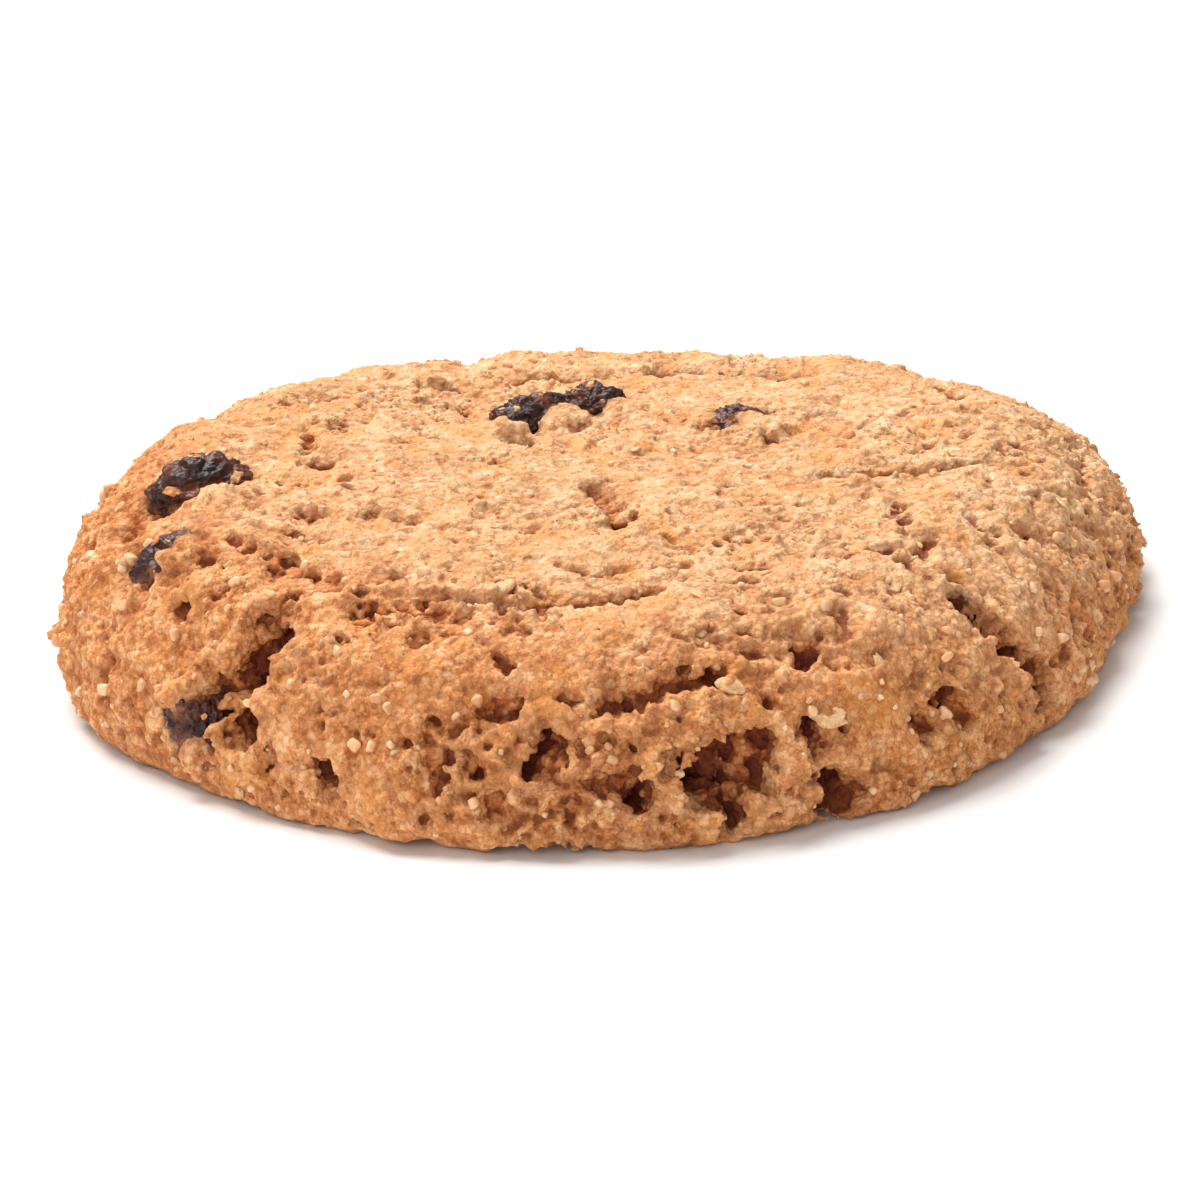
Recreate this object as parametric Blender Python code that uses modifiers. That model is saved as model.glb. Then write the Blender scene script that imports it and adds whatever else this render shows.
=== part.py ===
"""A baked oatmeal raisin cookie, lying on its flat underside.

The dough is a low round cake, a little thicker on its left, with a domed
crust, a cracked shoulder and a porous side. Six raisins sit in pockets of
the dough, and coarse sugar grains and oat bits are baked into its surface.

Metres, +Z up. The origin is the middle of the underside, and the front of
the cookie looks along -Y.

Places on the crust are given on a map, in millimetres: the skin rolled out
flat from the middle of the top, with u to the right and v to the back. A
point on the map lies as far from its middle as the skin is long from there
to the middle of the top, so the shoulder is near 32 and the foot near 48.
"""
import math
import random

import bmesh
import bpy
import numpy as np
from mathutils import Matrix, Vector, noise
from mathutils.bvhtree import BVHTree

MM = 0.001

# The cake's turned form
RADIUS = 40.0 * MM
BELLY_HEIGHT = 2.9 * MM
HEEL_INSET = 1.6 * MM
SHOULDER_WIDTH = 13.0 * MM
RIM_HEIGHT = 14.6 * MM
TOP_HEIGHT = 15.2 * MM
THIN_TO_RIGHT = 0.14

# Brings the middle of the uneven footprint over the origin
SHIFT_RIGHT = 0.26 * MM
SHIFT_BACK = 1.81 * MM

# How the rim strays from a circle: waves round it, share of the radius,
# and the bearing in degrees of the first crest
RIM_WAVES = [
    (2, 0.058, 57.0),
    (3, 0.048, 40.0),
    (4, 0.0185, 37.5),
    (5, 0.013, 46.0),
]

# Swellings of the crust: size across in mm, and height in mm
SWELLINGS = [
    (15.0, 0.45),
    (7.0, 0.32),
    (3.6, 0.30),
]

# Overlapping plates of crust: how far across, how high their edges stand,
# how many lie on a rise, how steep an edge is, and how far each tips back
PLATE_SIZE = 7.0
PLATE_STEP = 0.5
PLATE_LEVELS = 2.6
PLATE_EDGE = 4.0
PLATE_TIP = 0.7
PLATE_OCTAVES = 3

# Tears that run round the shoulder and the side: how far apart and how
# long they are, and how deep, in mm, and their share of the spacing
TEAR_SPACING = 4.6
TEAR_RUN = 12.0
TEAR_DEPTH = 0.8
TEAR_WIDTH = 0.11

# Crevices that lie open: depth and width in mm, then the route on the map
CREVICES = [
    (2.6, 2.0, [(-30.6, -29.8), (-28.4, -30.6), (-25.4, -30.2), (-23.4, -28.4)]),
    (3.0, 1.9, [(6.2, -43.6), (9.2, -42.2), (12.2, -41.0)]),
    (2.4, 1.3, [(8.2, -43.6), (8.4, -47.0)]),
    (1.8, 1.3, [(26.0, -25.0), (30.5, -26.2), (36.0, -25.4), (38.4, -27.2)]),
    (1.6, 1.1, [(-0.8, -7.4), (0.2, -11.0), (0.9, -15.2)]),
    (1.2, 0.8, [(-30.6, -17.3), (-27.8, -18.9)]),
    (1.4, 1.1, [(24.0, -34.4), (27.0, -34.6)]),
    (1.6, 1.8, [(-14.0, 42.0), (-5.0, 44.0)]),
    (1.6, 1.8, [(24.0, 36.0), (33.0, 27.0)]),
]

# Cracks that open only here and there: depth, width and route
CRACKS = [
    (1.2, 1.2, [(-20.0, -0.4), (-21.6, -13.2), (-22.6, -19.6), (-22.0, -26.0)]),
    (1.2, 1.2, [(-17.0, -29.0), (-12.6, -29.2), (-7.4, -29.8), (0.5, -28.4), (4.4, -24.6)]),
    (1.2, 1.1, [(4.5, -19.3), (9.0, -22.8), (14.0, -23.2)]),
    (1.4, 1.2, [(-8.0, -37.8), (0.0, -38.4), (7.0, -36.0)]),
    (1.2, 1.1, [(16.6, -3.0), (21.0, -2.0), (28.6, 2.0)]),
    (1.2, 1.1, [(21.8, -11.4), (23.6, -16.0), (22.4, -21.2), (25.4, -22.2)]),
    (1.1, 1.1, [(30.0, -12.4), (35.2, -9.2), (38.6, 4.0)]),
    (1.1, 1.3, [(-24.0, 14.0), (-12.0, 20.0), (2.0, 24.0), (14.0, 21.0)]),
    (1.2, 1.3, [(-30.0, 24.0), (-16.0, 34.0), (2.0, 38.0), (20.0, 33.0)]),
]

# Round pits: place on the map, width and depth, all in mm
PITS = [
    (-28.6, -33.2, 1.9, 3.0),
    (-27.4, -34.0, 1.4, 2.4),
    (-32.6, -30.4, 3.4, 1.7),
    (-32.6, -8.4, 3.4, 1.5),
    (-33.4, -14.6, 2.0, 1.2),
    (-6.4, 7.6, 2.4, 0.9),
    (-1.6, 11.4, 2.2, 0.8),
    (13.9, -40.4, 1.9, 2.0),
    (17.6, -43.6, 2.2, 2.2),
    (22.8, -36.8, 1.5, 1.8),
    (-22.2, -40.6, 1.6, 1.8),
    (-26.4, -36.6, 1.4, 1.4),
    (-12.7, -41.8, 1.7, 1.3),
    (-5.1, -41.9, 1.5, 1.4),
    (-9.0, -45.4, 1.7, 1.4),
    (0.5, -44.6, 1.8, 1.6),
    (3.4, -42.6, 1.5, 1.4),
    (-6.6, -1.2, 1.6, 1.6),
    (-30.2, -22.4, 1.4, 1.6),
    (38.0, -27.4, 1.7, 1.5),
    (-38.0, 21.0, 2.0, 1.6),
    (10.0, 42.5, 2.0, 1.6),
    (41.0, 14.0, 1.8, 1.4),
]

# Knobs of dough: place on the map, width and height, all in mm
KNOBS = [
    (-16.9, -44.6, 3.4, 0.9),
    (-26.8, -9.4, 3.0, 0.7),
    (-30.2, -18.4, 2.8, 0.8),
    (-8.6, 5.4, 2.6, 0.5),
    (-3.4, 8.0, 2.6, 0.9),
    (9.4, 6.4, 3.2, 0.8),
    (12.2, -44.8, 4.0, 0.7),
    (-20.0, 43.0, 4.0, 0.8),
    (30.0, 33.0, 4.0, 0.8),
    (-12.0, -35.4, 4.4, 0.5),
    (17.5, -31.0, 5.0, 0.6),
]

# How steep the walls of crevices, cracks and pits are
WALL_STEEPNESS = 1.7

# Raisins: name, place on the map, length, width and thickness, the turn
# about the way out of the crust in degrees, and how deep the middle is
RAISINS = [
    ("raisin_upper_left", (-28.8, -5.2), (7.2, 5.6, 4.9), 24.0, 1.1),
    ("raisin_left_edge", (-31.3, -16.0), (5.4, 4.2, 3.4), -15.0, 1.2),
    ("raisin_front_crevice", (-32.9, -30.2), (5.0, 4.4, 4.0), 25.0, 1.9),
    ("raisin_back_left", (-5.6, 10.0), (6.2, 4.6, 3.8), 35.0, 0.7),
    ("raisin_back_right", (-1.2, 14.4), (4.9, 4.0, 3.6), 10.0, 0.8),
    ("raisin_right", (8.5, 8.8), (4.8, 4.0, 3.1), -10.0, 0.85),
]
WRINKLE_DEPTH = 0.12
FIT_GAP = 0.35 * MM

# Grains baked into the crust
SUGAR_COUNT = 44
OAT_COUNT = 16
SUGAR_SIZE = (1.0 * MM, 1.7 * MM)
OAT_SIZE = (2.4 * MM, 3.6 * MM)
GRAIN_REACH = 44.0
RAISIN_CLEARANCE = 3.0
GRAIN_SEED = 7

# Fineness of the solids
SKIN_GRAIN = 0.75 * MM
DOUGH_TRIANGLES = 7200

# Points lower than this belong to the flat underside
UNDERSIDE_GRAIN = 0.04 * MM

# The foot: how high its zone reaches, and how far in from the edge the
# relief still shifts the underside
FOOT_ZONE = 1.6 * MM
FOOT_REACH = 5.0 * MM


def clear_scene():
    """Start from nothing."""
    for thing in list(bpy.data.objects):
        bpy.data.objects.remove(thing, do_unlink=True)


def make_collection(name):
    group = bpy.data.collections.new(name)
    bpy.context.scene.collection.children.link(group)
    return group


def make_material(name, colour, roughness):
    material = bpy.data.materials.new(name)
    material.use_nodes = True
    shader = material.node_tree.nodes["Principled BSDF"]
    shader.inputs["Base Color"].default_value = (*colour, 1.0)
    shader.inputs["Roughness"].default_value = roughness
    shader.inputs["Metallic"].default_value = 0.0
    return material


def turned_profile():
    """Points (radius, height) of the cake's skin, from the middle of the
    top out over the shoulder and back under the foot."""
    flat = RADIUS - SHOULDER_WIDTH
    points = []
    for step in range(12):
        radius = flat * step / 12
        height = TOP_HEIGHT + (RIM_HEIGHT - TOP_HEIGHT) * (radius / flat) ** 2
        points.append((radius, height))
    for step in range(20):
        turn = math.pi / 2 * (1 - step / 20)
        radius = flat + SHOULDER_WIDTH * math.cos(turn)
        height = BELLY_HEIGHT + (RIM_HEIGHT - BELLY_HEIGHT) * math.sin(turn)
        points.append((radius, height))
    for step in range(10):
        turn = math.pi / 2 * step / 9
        radius = RADIUS - HEEL_INSET * (1 - math.cos(turn))
        height = BELLY_HEIGHT * (1 - math.sin(turn))
        points.append((radius, height))
    points.append((0.0, 0.0))
    return points


def skin_lengths(profile):
    """How far along the skin each profile point lies from the top."""
    lengths = [0.0]
    for (r0, z0), (r1, z1) in zip(profile, profile[1:]):
        lengths.append(lengths[-1] + math.hypot(r1 - r0, z1 - z0))
    return np.array(lengths)


def rim_factor(bearing):
    """How much the outline stands out of or in from its circle."""
    factor = np.ones_like(bearing)
    for waves, share, crest in RIM_WAVES:
        factor += share * np.cos(waves * (bearing - math.radians(crest)))
    return factor


class Skin:
    """The smooth skin of the cake, which finds points of the map on it."""

    def __init__(self):
        self.profile = np.array(turned_profile())
        self.lengths = skin_lengths(turned_profile())
        middle = np.array([0.0, BELLY_HEIGHT])
        away = self.profile - middle
        self.angles = np.arctan2(away[:, 0], away[:, 1])
        slope = np.gradient(self.profile, self.lengths, axis=0)
        self.out_radius = -slope[:, 1]
        self.out_height = slope[:, 0]
        self.foot = self.lengths[-2]

    def measure(self, points):
        """Bearing, and length along the skin, of points of the round cake."""
        bearing = np.arctan2(points[:, 1], points[:, 0])
        radius = np.hypot(points[:, 0], points[:, 1])
        angle = np.arctan2(radius, points[:, 2] - BELLY_HEIGHT)
        length = np.interp(angle, self.angles, self.lengths)
        return bearing, length

    def outward(self, bearing, length):
        """Unit vectors that point out of the skin."""
        out = np.interp(length, self.lengths, self.out_radius)
        up = np.interp(length, self.lengths, self.out_height)
        vectors = np.stack([out * np.cos(bearing), out * np.sin(bearing), up], axis=1)
        return vectors / np.linalg.norm(vectors, axis=1, keepdims=True)

    def place(self, u, v):
        """The point of the finished cake at a place of the map in mm, and
        the way out of the skin there."""
        bearing = np.array([math.atan2(v, u)])
        length = np.array([math.hypot(u, v) * MM])
        radius = np.interp(length, self.lengths, self.profile[:, 0])
        height = np.interp(length, self.lengths, self.profile[:, 1])
        round_point = np.stack(
            [radius * np.cos(bearing), radius * np.sin(bearing), height], axis=1
        )
        point = shape_cake(round_point, bearing)
        return Vector(point[0]), Vector(self.outward(bearing, length)[0])


def shape_cake(points, bearing):
    """Give points of the round cake the uneven outline and thickness, and
    set it over the origin."""
    shaped = points.copy()
    factor = rim_factor(bearing)
    shaped[:, 0] *= factor
    shaped[:, 1] *= factor
    shaped[:, 2] *= 1 - THIN_TO_RIGHT * shaped[:, 0] / RADIUS
    shaped[:, 0] += SHIFT_RIGHT
    shaped[:, 1] += SHIFT_BACK
    return shaped


def ease(share):
    """A smooth rise from 0 to 1."""
    share = np.clip(share, 0.0, 1.0)
    return share * share * (3 - 2 * share)


def field(points, size, shift):
    """Smooth noise over points in mm, with features of a given size."""
    offset = Vector((shift, -shift, 0.5 * shift))
    return np.array([noise.noise(Vector(p) / size + offset) for p in points])


def distance_to_route(u, v, route):
    """Distance in mm on the map from each point to a broken line."""
    nearest = np.full(len(u), 1e9)
    for (u0, v0), (u1, v1) in zip(route, route[1:]):
        du = u1 - u0
        dv = v1 - v0
        share = ((u - u0) * du + (v - v0) * dv) / (du * du + dv * dv)
        share = np.clip(share, 0.0, 1.0)
        gap = np.hypot(u - u0 - share * du, v - v0 - share * dv)
        nearest = np.minimum(nearest, gap)
    return nearest


def swellings(points):
    height = np.zeros(len(points))
    for number, (size, rise) in enumerate(SWELLINGS):
        height += rise * field(points, size, 11.0 * (number + 1))
    return height


def plates(points):
    """Plates of crust that lie over each other like low steps."""
    shift = Vector((51.0, 17.0, 5.0))
    rise = PLATE_LEVELS * np.array([
        noise.fractal(Vector(p) / PLATE_SIZE + shift, 0.9, 2.0, PLATE_OCTAVES)
        for p in points
    ])
    level = np.floor(rise)
    edge = ease(PLATE_EDGE * (rise - level))
    return PLATE_STEP * (level + edge - 0.5 - PLATE_TIP * rise)


def tears(points, bearing, length):
    """Long thin cracks round the shoulder, deepest where the crust bends."""
    turns = RADIUS / MM / TEAR_RUN
    rolled = np.stack(
        [turns * np.cos(bearing), turns * np.sin(bearing), length / TEAR_SPACING],
        axis=1,
    )
    rolled[:, 2] += 0.9 * field(points, 8.0, 3.0)
    line = np.abs(field(rolled, 1.0, 21.0))
    open_share = ease(0.3 + 1.9 * field(points, 9.0, 5.0))
    bend = ease((length - 20.0) / 8.0) * ease((49.0 - length) / 4.0)
    return -TEAR_DEPTH * ease(1 - line / TEAR_WIDTH) * open_share * bend


def crevices_and_cracks(points, u, v):
    u = u + 0.9 * field(points, 2.2, 31.0)
    v = v + 0.9 * field(points, 2.2, 37.0)
    height = np.zeros(len(u))
    for depth, width, route in CREVICES:
        gap = distance_to_route(u, v, route)
        wall = ease(WALL_STEEPNESS * (1 - gap / width))
        height = np.minimum(height, -depth * wall)
    open_share = ease(0.55 + 1.6 * field(points, 3.4, 41.0))
    for depth, width, route in CRACKS:
        gap = distance_to_route(u, v, route)
        wall = ease(WALL_STEEPNESS * (1 - gap / width))
        height = np.minimum(height, -depth * wall * open_share)
    return height


def pits_and_knobs(points, u, v):
    height = np.zeros(len(u))
    ragged = 1 + 0.5 * field(points, 1.6, 43.0)
    for pit_u, pit_v, width, depth in PITS:
        gap = np.hypot(u - pit_u, v - pit_v) * ragged
        height -= depth * ease(WALL_STEEPNESS * (1 - gap / width))
    for knob_u, knob_v, width, rise in KNOBS:
        gap = np.hypot(u - knob_u, v - knob_v)
        height += rise * ease(1 - gap / width)
    return height


def crust_relief(points, bearing, length):
    """How far the crust stands out of the smooth skin, in metres."""
    in_mm = points / MM
    skin = length / MM
    u = skin * np.cos(bearing)
    v = skin * np.sin(bearing)
    height = swellings(in_mm) + plates(in_mm) + tears(in_mm, bearing, skin)
    height += crevices_and_cracks(in_mm, u, v) + pits_and_knobs(in_mm, u, v)
    return height * MM


def way_out(skin, points, bearing, length):
    """The way that the relief moves each point: out of the skin, but level
    near the foot, and less and less under it, so that it stays flat."""
    ways = skin.outward(bearing, length)
    level = ease(1 - points[:, 2] / FOOT_ZONE)[:, None]
    sideways = np.stack([np.cos(bearing), np.sin(bearing), np.zeros(len(points))], axis=1)
    ways = ways * (1 - level) + sideways * level
    return ways * ease(1 - (length - skin.foot) / FOOT_REACH)[:, None]


def round_cake(name, group):
    """The turned cake with an even skin of small squares."""
    mesh = bpy.data.meshes.new(name)
    profile = bmesh.new()
    corners = [profile.verts.new((r, 0.0, z)) for r, z in turned_profile()]
    for first, second in zip(corners, corners[1:]):
        profile.edges.new((first, second))
    profile.to_mesh(mesh)
    profile.free()
    cake = bpy.data.objects.new(name, mesh)
    group.objects.link(cake)
    turn = cake.modifiers.new("turn", "SCREW")
    turn.axis = "Z"
    turn.angle = math.tau
    turn.steps = 120
    turn.render_steps = 120
    turn.use_merge_vertices = True
    turn.merge_threshold = 0.00001
    skin = cake.modifiers.new("skin", "REMESH")
    skin.mode = "VOXEL"
    skin.voxel_size = SKIN_GRAIN
    return cake


def apply_modifiers(thing):
    """Keep the mesh as its modifiers leave it."""
    graph = bpy.context.evaluated_depsgraph_get()
    finished = bpy.data.meshes.new_from_object(thing.evaluated_get(graph))
    thing.modifiers.clear()
    thing.data = finished


def read_points(mesh):
    points = np.empty(len(mesh.vertices) * 3)
    mesh.vertices.foreach_get("co", points)
    return points.reshape(-1, 3)


def write_points(mesh, points):
    mesh.vertices.foreach_set("co", points.ravel())
    mesh.update()


def bake_shape(cake, skin):
    """Move the round cake's skin to the baked one."""
    points = read_points(cake.data)
    bearing, length = skin.measure(points)
    relief = crust_relief(points, bearing, np.minimum(length, skin.foot))
    shaped = shape_cake(points, bearing)
    shaped += way_out(skin, points, bearing, length) * relief[:, None]
    shaped[length > skin.foot, 2] = 0.0
    shaped[:, 2] = np.maximum(shaped[:, 2], 0.0)
    write_points(cake.data, shaped)


def thin_out(thing, triangles):
    """Fewer faces, most of them where the form bends."""
    thing.data.calc_loop_triangles()
    fewer = thing.modifiers.new("fewer", "DECIMATE")
    fewer.ratio = triangles / len(thing.data.loop_triangles)
    fewer.use_collapse_triangulate = True
    apply_modifiers(thing)


def flatten_underside(thing):
    """Set the points that lie a hair off the tray down onto it."""
    points = read_points(thing.data)
    points[:, 2] = np.where(points[:, 2] < UNDERSIDE_GRAIN, 0.0, points[:, 2])
    write_points(thing.data, points)


def raisin_frame(skin, place, turn, depth):
    """Where a raisin lies: its length and width along the crust."""
    point, out = skin.place(*place)
    across = Vector((0.0, 1.0, 0.0)).cross(out).normalized()
    along = out.cross(across)
    axes = Matrix((across, along, out)).transposed().to_4x4()
    middle = Matrix.Translation(point - out * depth * MM)
    return middle @ axes @ Matrix.Rotation(math.radians(turn), 4, "Z")


def raisin_shape(number, size, swell):
    """A dried, wrinkled berry as a bmesh round its own middle."""
    berry = bmesh.new()
    bmesh.ops.create_icosphere(berry, subdivisions=3, radius=0.5)
    shift = Vector((7.0 * number, 3.0 * number, 0.0))
    for corner in berry.verts:
        way = corner.co.normalized()
        fold = abs(noise.noise(way * 2.1 + shift))
        pinch = noise.noise(way * 1.1 - shift)
        scale = 1.0 + WRINKLE_DEPTH * (2.2 * fold - 0.6) + 0.16 * pinch
        corner.co = Vector(w * s * MM for w, s in zip(way * 0.5 * scale, size))
    if swell:
        berry.normal_update()
        for corner, way in [(c, c.normal.copy()) for c in berry.verts]:
            corner.co += way * swell
    return berry


def make_raisin(name, number, size, frame, swell, group, material):
    berry = raisin_shape(number, size, swell)
    berry.transform(frame)
    mesh = bpy.data.meshes.new(name)
    berry.to_mesh(mesh)
    berry.free()
    mesh.shade_smooth()
    raisin = bpy.data.objects.new(name, mesh)
    if material:
        mesh.materials.append(material)
    group.objects.link(raisin)
    return raisin


def free_places(draw, count):
    """Places on the map, spread evenly, clear of each other and of the
    raisins."""
    golden = math.pi * (3 - math.sqrt(5))
    places = []
    number = 0
    while len(places) < count:
        number += 1
        share = math.sqrt((number * 0.6180339 + draw.uniform(-0.1, 0.1)) % 1.0)
        length = GRAIN_REACH * (0.12 + 0.88 * share)
        bearing = number * golden + draw.uniform(-0.2, 0.2)
        u = length * math.cos(bearing)
        v = length * math.sin(bearing)
        near_raisin = any(
            math.hypot(u - place[0], v - place[1]) < 0.5 * size[0] + RAISIN_CLEARANCE
            for _, place, size, _, _ in RAISINS
        )
        near_grain = any(math.hypot(u - a, v - b) < 3.2 for a, b in places)
        if not near_raisin and not near_grain:
            places.append((u, v))
    return places


def surface_at(cake_tree, skin, place):
    """The point of the finished crust over a place of the map."""
    point, out = skin.place(*place)
    start = point + out * 3.0 * MM
    hit = cake_tree.ray_cast(start, -out)
    return hit[0], out


def make_grains(cake, skin, group):
    """Sugar grains as small blocks and oat bits as flat chips, half sunk
    in the crust."""
    graph = bpy.context.evaluated_depsgraph_get()
    tree = BVHTree.FromObject(cake, graph)
    draw = random.Random(GRAIN_SEED)
    places = free_places(draw, SUGAR_COUNT + OAT_COUNT)
    for number, place in enumerate(places):
        point, out = surface_at(tree, skin, place)
        grain = bmesh.new()
        spin = Matrix.Rotation(draw.uniform(0, math.tau), 4, "Z")
        lean = Matrix.Rotation(draw.uniform(-0.5, 0.5), 4, "X")
        stand = out.to_track_quat("Z", "Y").to_matrix().to_4x4()
        if number < OAT_COUNT:
            name = "oat_bit"
            width = draw.uniform(*OAT_SIZE)
            bmesh.ops.create_icosphere(grain, subdivisions=1, radius=0.5)
            sizes = (width, 0.7 * width, 0.9 * MM)
            sink = 0.1 * MM
        else:
            name = "sugar"
            width = draw.uniform(*SUGAR_SIZE)
            bmesh.ops.create_cube(grain, size=1.0)
            sizes = (width, 0.8 * width, 0.75 * width)
            sink = 0.1 * width
        bmesh.ops.scale(grain, vec=sizes, verts=grain.verts)
        middle = Matrix.Translation(point - out * sink)
        grain.transform(middle @ stand @ spin @ lean)
        mesh = bpy.data.meshes.new(name)
        grain.to_mesh(mesh)
        grain.free()
        group.objects.link(bpy.data.objects.new(name, mesh))


def boolean_with(cake, group, operation):
    """Cut or join every object of a collection in one step."""
    change = cake.modifiers.new(operation.lower(), "BOOLEAN")
    change.operation = operation
    change.operand_type = "COLLECTION"
    change.collection = group
    change.solver = "EXACT"
    apply_modifiers(cake)


def empty_collection(group):
    for thing in list(group.objects):
        bpy.data.objects.remove(thing, do_unlink=True)
    bpy.data.collections.remove(group)


def keep_main_body(thing):
    """Drop loose scraps, and close up slivers left by the cuts."""
    body = bmesh.new()
    body.from_mesh(thing.data)
    bmesh.ops.remove_doubles(body, verts=body.verts, dist=0.000004)
    bmesh.ops.triangulate(body, faces=body.faces)
    waiting = set(body.faces)
    islands = []
    while waiting:
        edge_of_search = [waiting.pop()]
        island = set(edge_of_search)
        while edge_of_search:
            face = edge_of_search.pop()
            for edge in face.edges:
                for other in edge.link_faces:
                    if other in waiting:
                        waiting.discard(other)
                        island.add(other)
                        edge_of_search.append(other)
        islands.append(island)
    islands.sort(key=len, reverse=True)
    scraps = [face for island in islands[1:] for face in island]
    bmesh.ops.delete(body, geom=scraps, context="FACES")
    body.to_mesh(thing.data)
    body.free()


def build():
    clear_scene()
    cookie = make_collection("oatmeal_raisin_cookie")
    cutters = make_collection("pocket_cutters")
    crust = make_material("baked_dough", (0.58, 0.32, 0.13), 0.85)
    fruit = make_material("raisin_skin", (0.045, 0.018, 0.016), 0.45)

    skin = Skin()
    dough = round_cake("cookie_dough", cookie)
    apply_modifiers(dough)
    bake_shape(dough, skin)
    thin_out(dough, DOUGH_TRIANGLES)
    flatten_underside(dough)

    for number, (name, place, size, turn, depth) in enumerate(RAISINS):
        frame = raisin_frame(skin, place, turn, depth)
        make_raisin(name, number, size, frame, 0.0, cookie, fruit)
        cutter = make_raisin(
            name + "_pocket", number, size, frame, FIT_GAP, cutters, None
        )
        cutter.hide_render = True
        cutter.display_type = "WIRE"

    grains = make_collection("grains")
    make_grains(dough, skin, grains)
    boolean_with(dough, grains, "UNION")
    empty_collection(grains)
    boolean_with(dough, cutters, "DIFFERENCE")
    keep_main_body(dough)
    dough.data.materials.clear()
    dough.data.materials.append(crust)
    dough.data.shade_smooth()
    dough.data.set_sharp_from_angle(angle=math.radians(50))


build()
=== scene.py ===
"""The looks of a baked oatmeal raisin cookie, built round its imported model.

The dough is worked like the real thing: a turned cake, its swellings, tears
and crevices, then the crumb, the fine clumps that stand out of it, and at
last sugar grains, oat bits and wrinkled raisins. Metres, +Z up, the front
looks along -Y.

Places on the crust are given on a map, in millimetres: the skin rolled out
flat from the middle of the top, u to the right and v to the back.
"""
import itertools
import math

import bmesh
import bpy
import numpy as np
from mathutils import Matrix, Vector, noise
from mathutils.bvhtree import BVHTree


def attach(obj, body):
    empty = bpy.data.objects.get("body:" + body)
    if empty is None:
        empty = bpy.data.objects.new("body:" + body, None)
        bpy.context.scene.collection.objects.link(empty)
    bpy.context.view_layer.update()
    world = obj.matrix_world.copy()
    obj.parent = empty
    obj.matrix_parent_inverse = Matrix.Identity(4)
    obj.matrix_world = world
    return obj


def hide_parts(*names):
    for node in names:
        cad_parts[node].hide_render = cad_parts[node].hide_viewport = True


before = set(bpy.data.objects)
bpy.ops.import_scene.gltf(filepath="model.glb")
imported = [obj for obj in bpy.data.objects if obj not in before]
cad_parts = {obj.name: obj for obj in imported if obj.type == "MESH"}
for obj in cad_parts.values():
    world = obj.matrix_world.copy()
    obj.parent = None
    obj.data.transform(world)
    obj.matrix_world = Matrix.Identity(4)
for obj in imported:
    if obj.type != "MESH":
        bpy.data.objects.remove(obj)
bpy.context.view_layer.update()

MM = 0.001

# The cake's turned form
RADIUS = 40.0
BELLY_HEIGHT = 2.9
HEEL_INSET = 1.6
SHOULDER_WIDTH = 13.0
RIM_HEIGHT = 14.6
TOP_HEIGHT = 15.2
THIN_TO_RIGHT = 0.14
SHIFT_RIGHT = 0.26
SHIFT_BACK = 1.81
FOOT_ZONE = 1.6
FOOT_REACH = 5.0

# Waves round the rim, share of the radius, bearing of the first crest
RIM_WAVES = [
    (2, 0.058, 57.0),
    (3, 0.048, 40.0),
    (4, 0.0185, 37.5),
    (5, 0.013, 46.0),
]

# Swellings of the crust: size across in mm, and height in mm
SWELLINGS = [
    (15.0, 0.45),
    (7.0, 0.32),
    (3.6, 0.30),
]

# Overlapping plates of crust: how far across, how high their edges stand,
# how many lie on a rise, how steep an edge is, how far each tips back, and
# how many times finer their raggedness goes
PLATE_SIZE = 7.0
PLATE_STEP = 0.5
PLATE_LEVELS = 2.6
PLATE_EDGE = 4.0
PLATE_TIP = 0.7
PLATE_OCTAVES = 6

# Tears that run round the shoulder and the side: how far apart and how
# long they are, and how deep, in mm, and their share of the spacing
TEAR_SPACING = 4.6
TEAR_RUN = 12.0
TEAR_DEPTH = 0.8
TEAR_WIDTH = 0.11

# Crevices that lie open: depth and width in mm, then the route on the map
CREVICES = [
    (2.6, 2.0, [(-30.6, -29.8), (-28.4, -30.6), (-25.4, -30.2), (-23.4, -28.4)]),
    (3.0, 1.9, [(6.2, -43.6), (9.2, -42.2), (12.2, -41.0)]),
    (2.4, 1.3, [(8.2, -43.6), (8.4, -47.0)]),
    (1.8, 1.3, [(26.0, -25.0), (30.5, -26.2), (36.0, -25.4), (38.4, -27.2)]),
    (1.4, 0.8, [(-0.8, -7.4), (0.2, -11.0), (0.9, -15.2)]),
    (1.2, 0.8, [(-30.6, -17.3), (-27.8, -18.9)]),
    (1.4, 1.1, [(24.0, -34.4), (27.0, -34.6)]),
    (1.6, 1.8, [(-14.0, 42.0), (-5.0, 44.0)]),
    (1.6, 1.8, [(24.0, 36.0), (33.0, 27.0)]),
]

# Cracks that open only here and there: depth, width and route
CRACKS = [
    (1.2, 1.2, [(-20.0, -0.4), (-21.6, -13.2), (-22.6, -19.6), (-22.0, -26.0)]),
    (1.2, 1.2, [(-17.0, -29.0), (-12.6, -29.2), (-7.4, -29.8), (0.5, -28.4), (4.4, -24.6)]),
    (1.2, 1.1, [(4.5, -19.3), (9.0, -22.8), (14.0, -23.2)]),
    (1.4, 1.2, [(-8.0, -37.8), (0.0, -38.4), (7.0, -36.0)]),
    (1.2, 1.1, [(16.6, -3.0), (21.0, -2.0), (28.6, 2.0)]),
    (1.2, 1.1, [(21.8, -11.4), (23.6, -16.0), (22.4, -21.2), (25.4, -22.2)]),
    (1.1, 1.1, [(30.0, -12.4), (35.2, -9.2), (38.6, 4.0)]),
    (1.1, 1.3, [(-24.0, 14.0), (-12.0, 20.0), (2.0, 24.0), (14.0, 21.0)]),
    (1.2, 1.3, [(-30.0, 24.0), (-16.0, 34.0), (2.0, 38.0), (20.0, 33.0)]),
]

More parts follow.
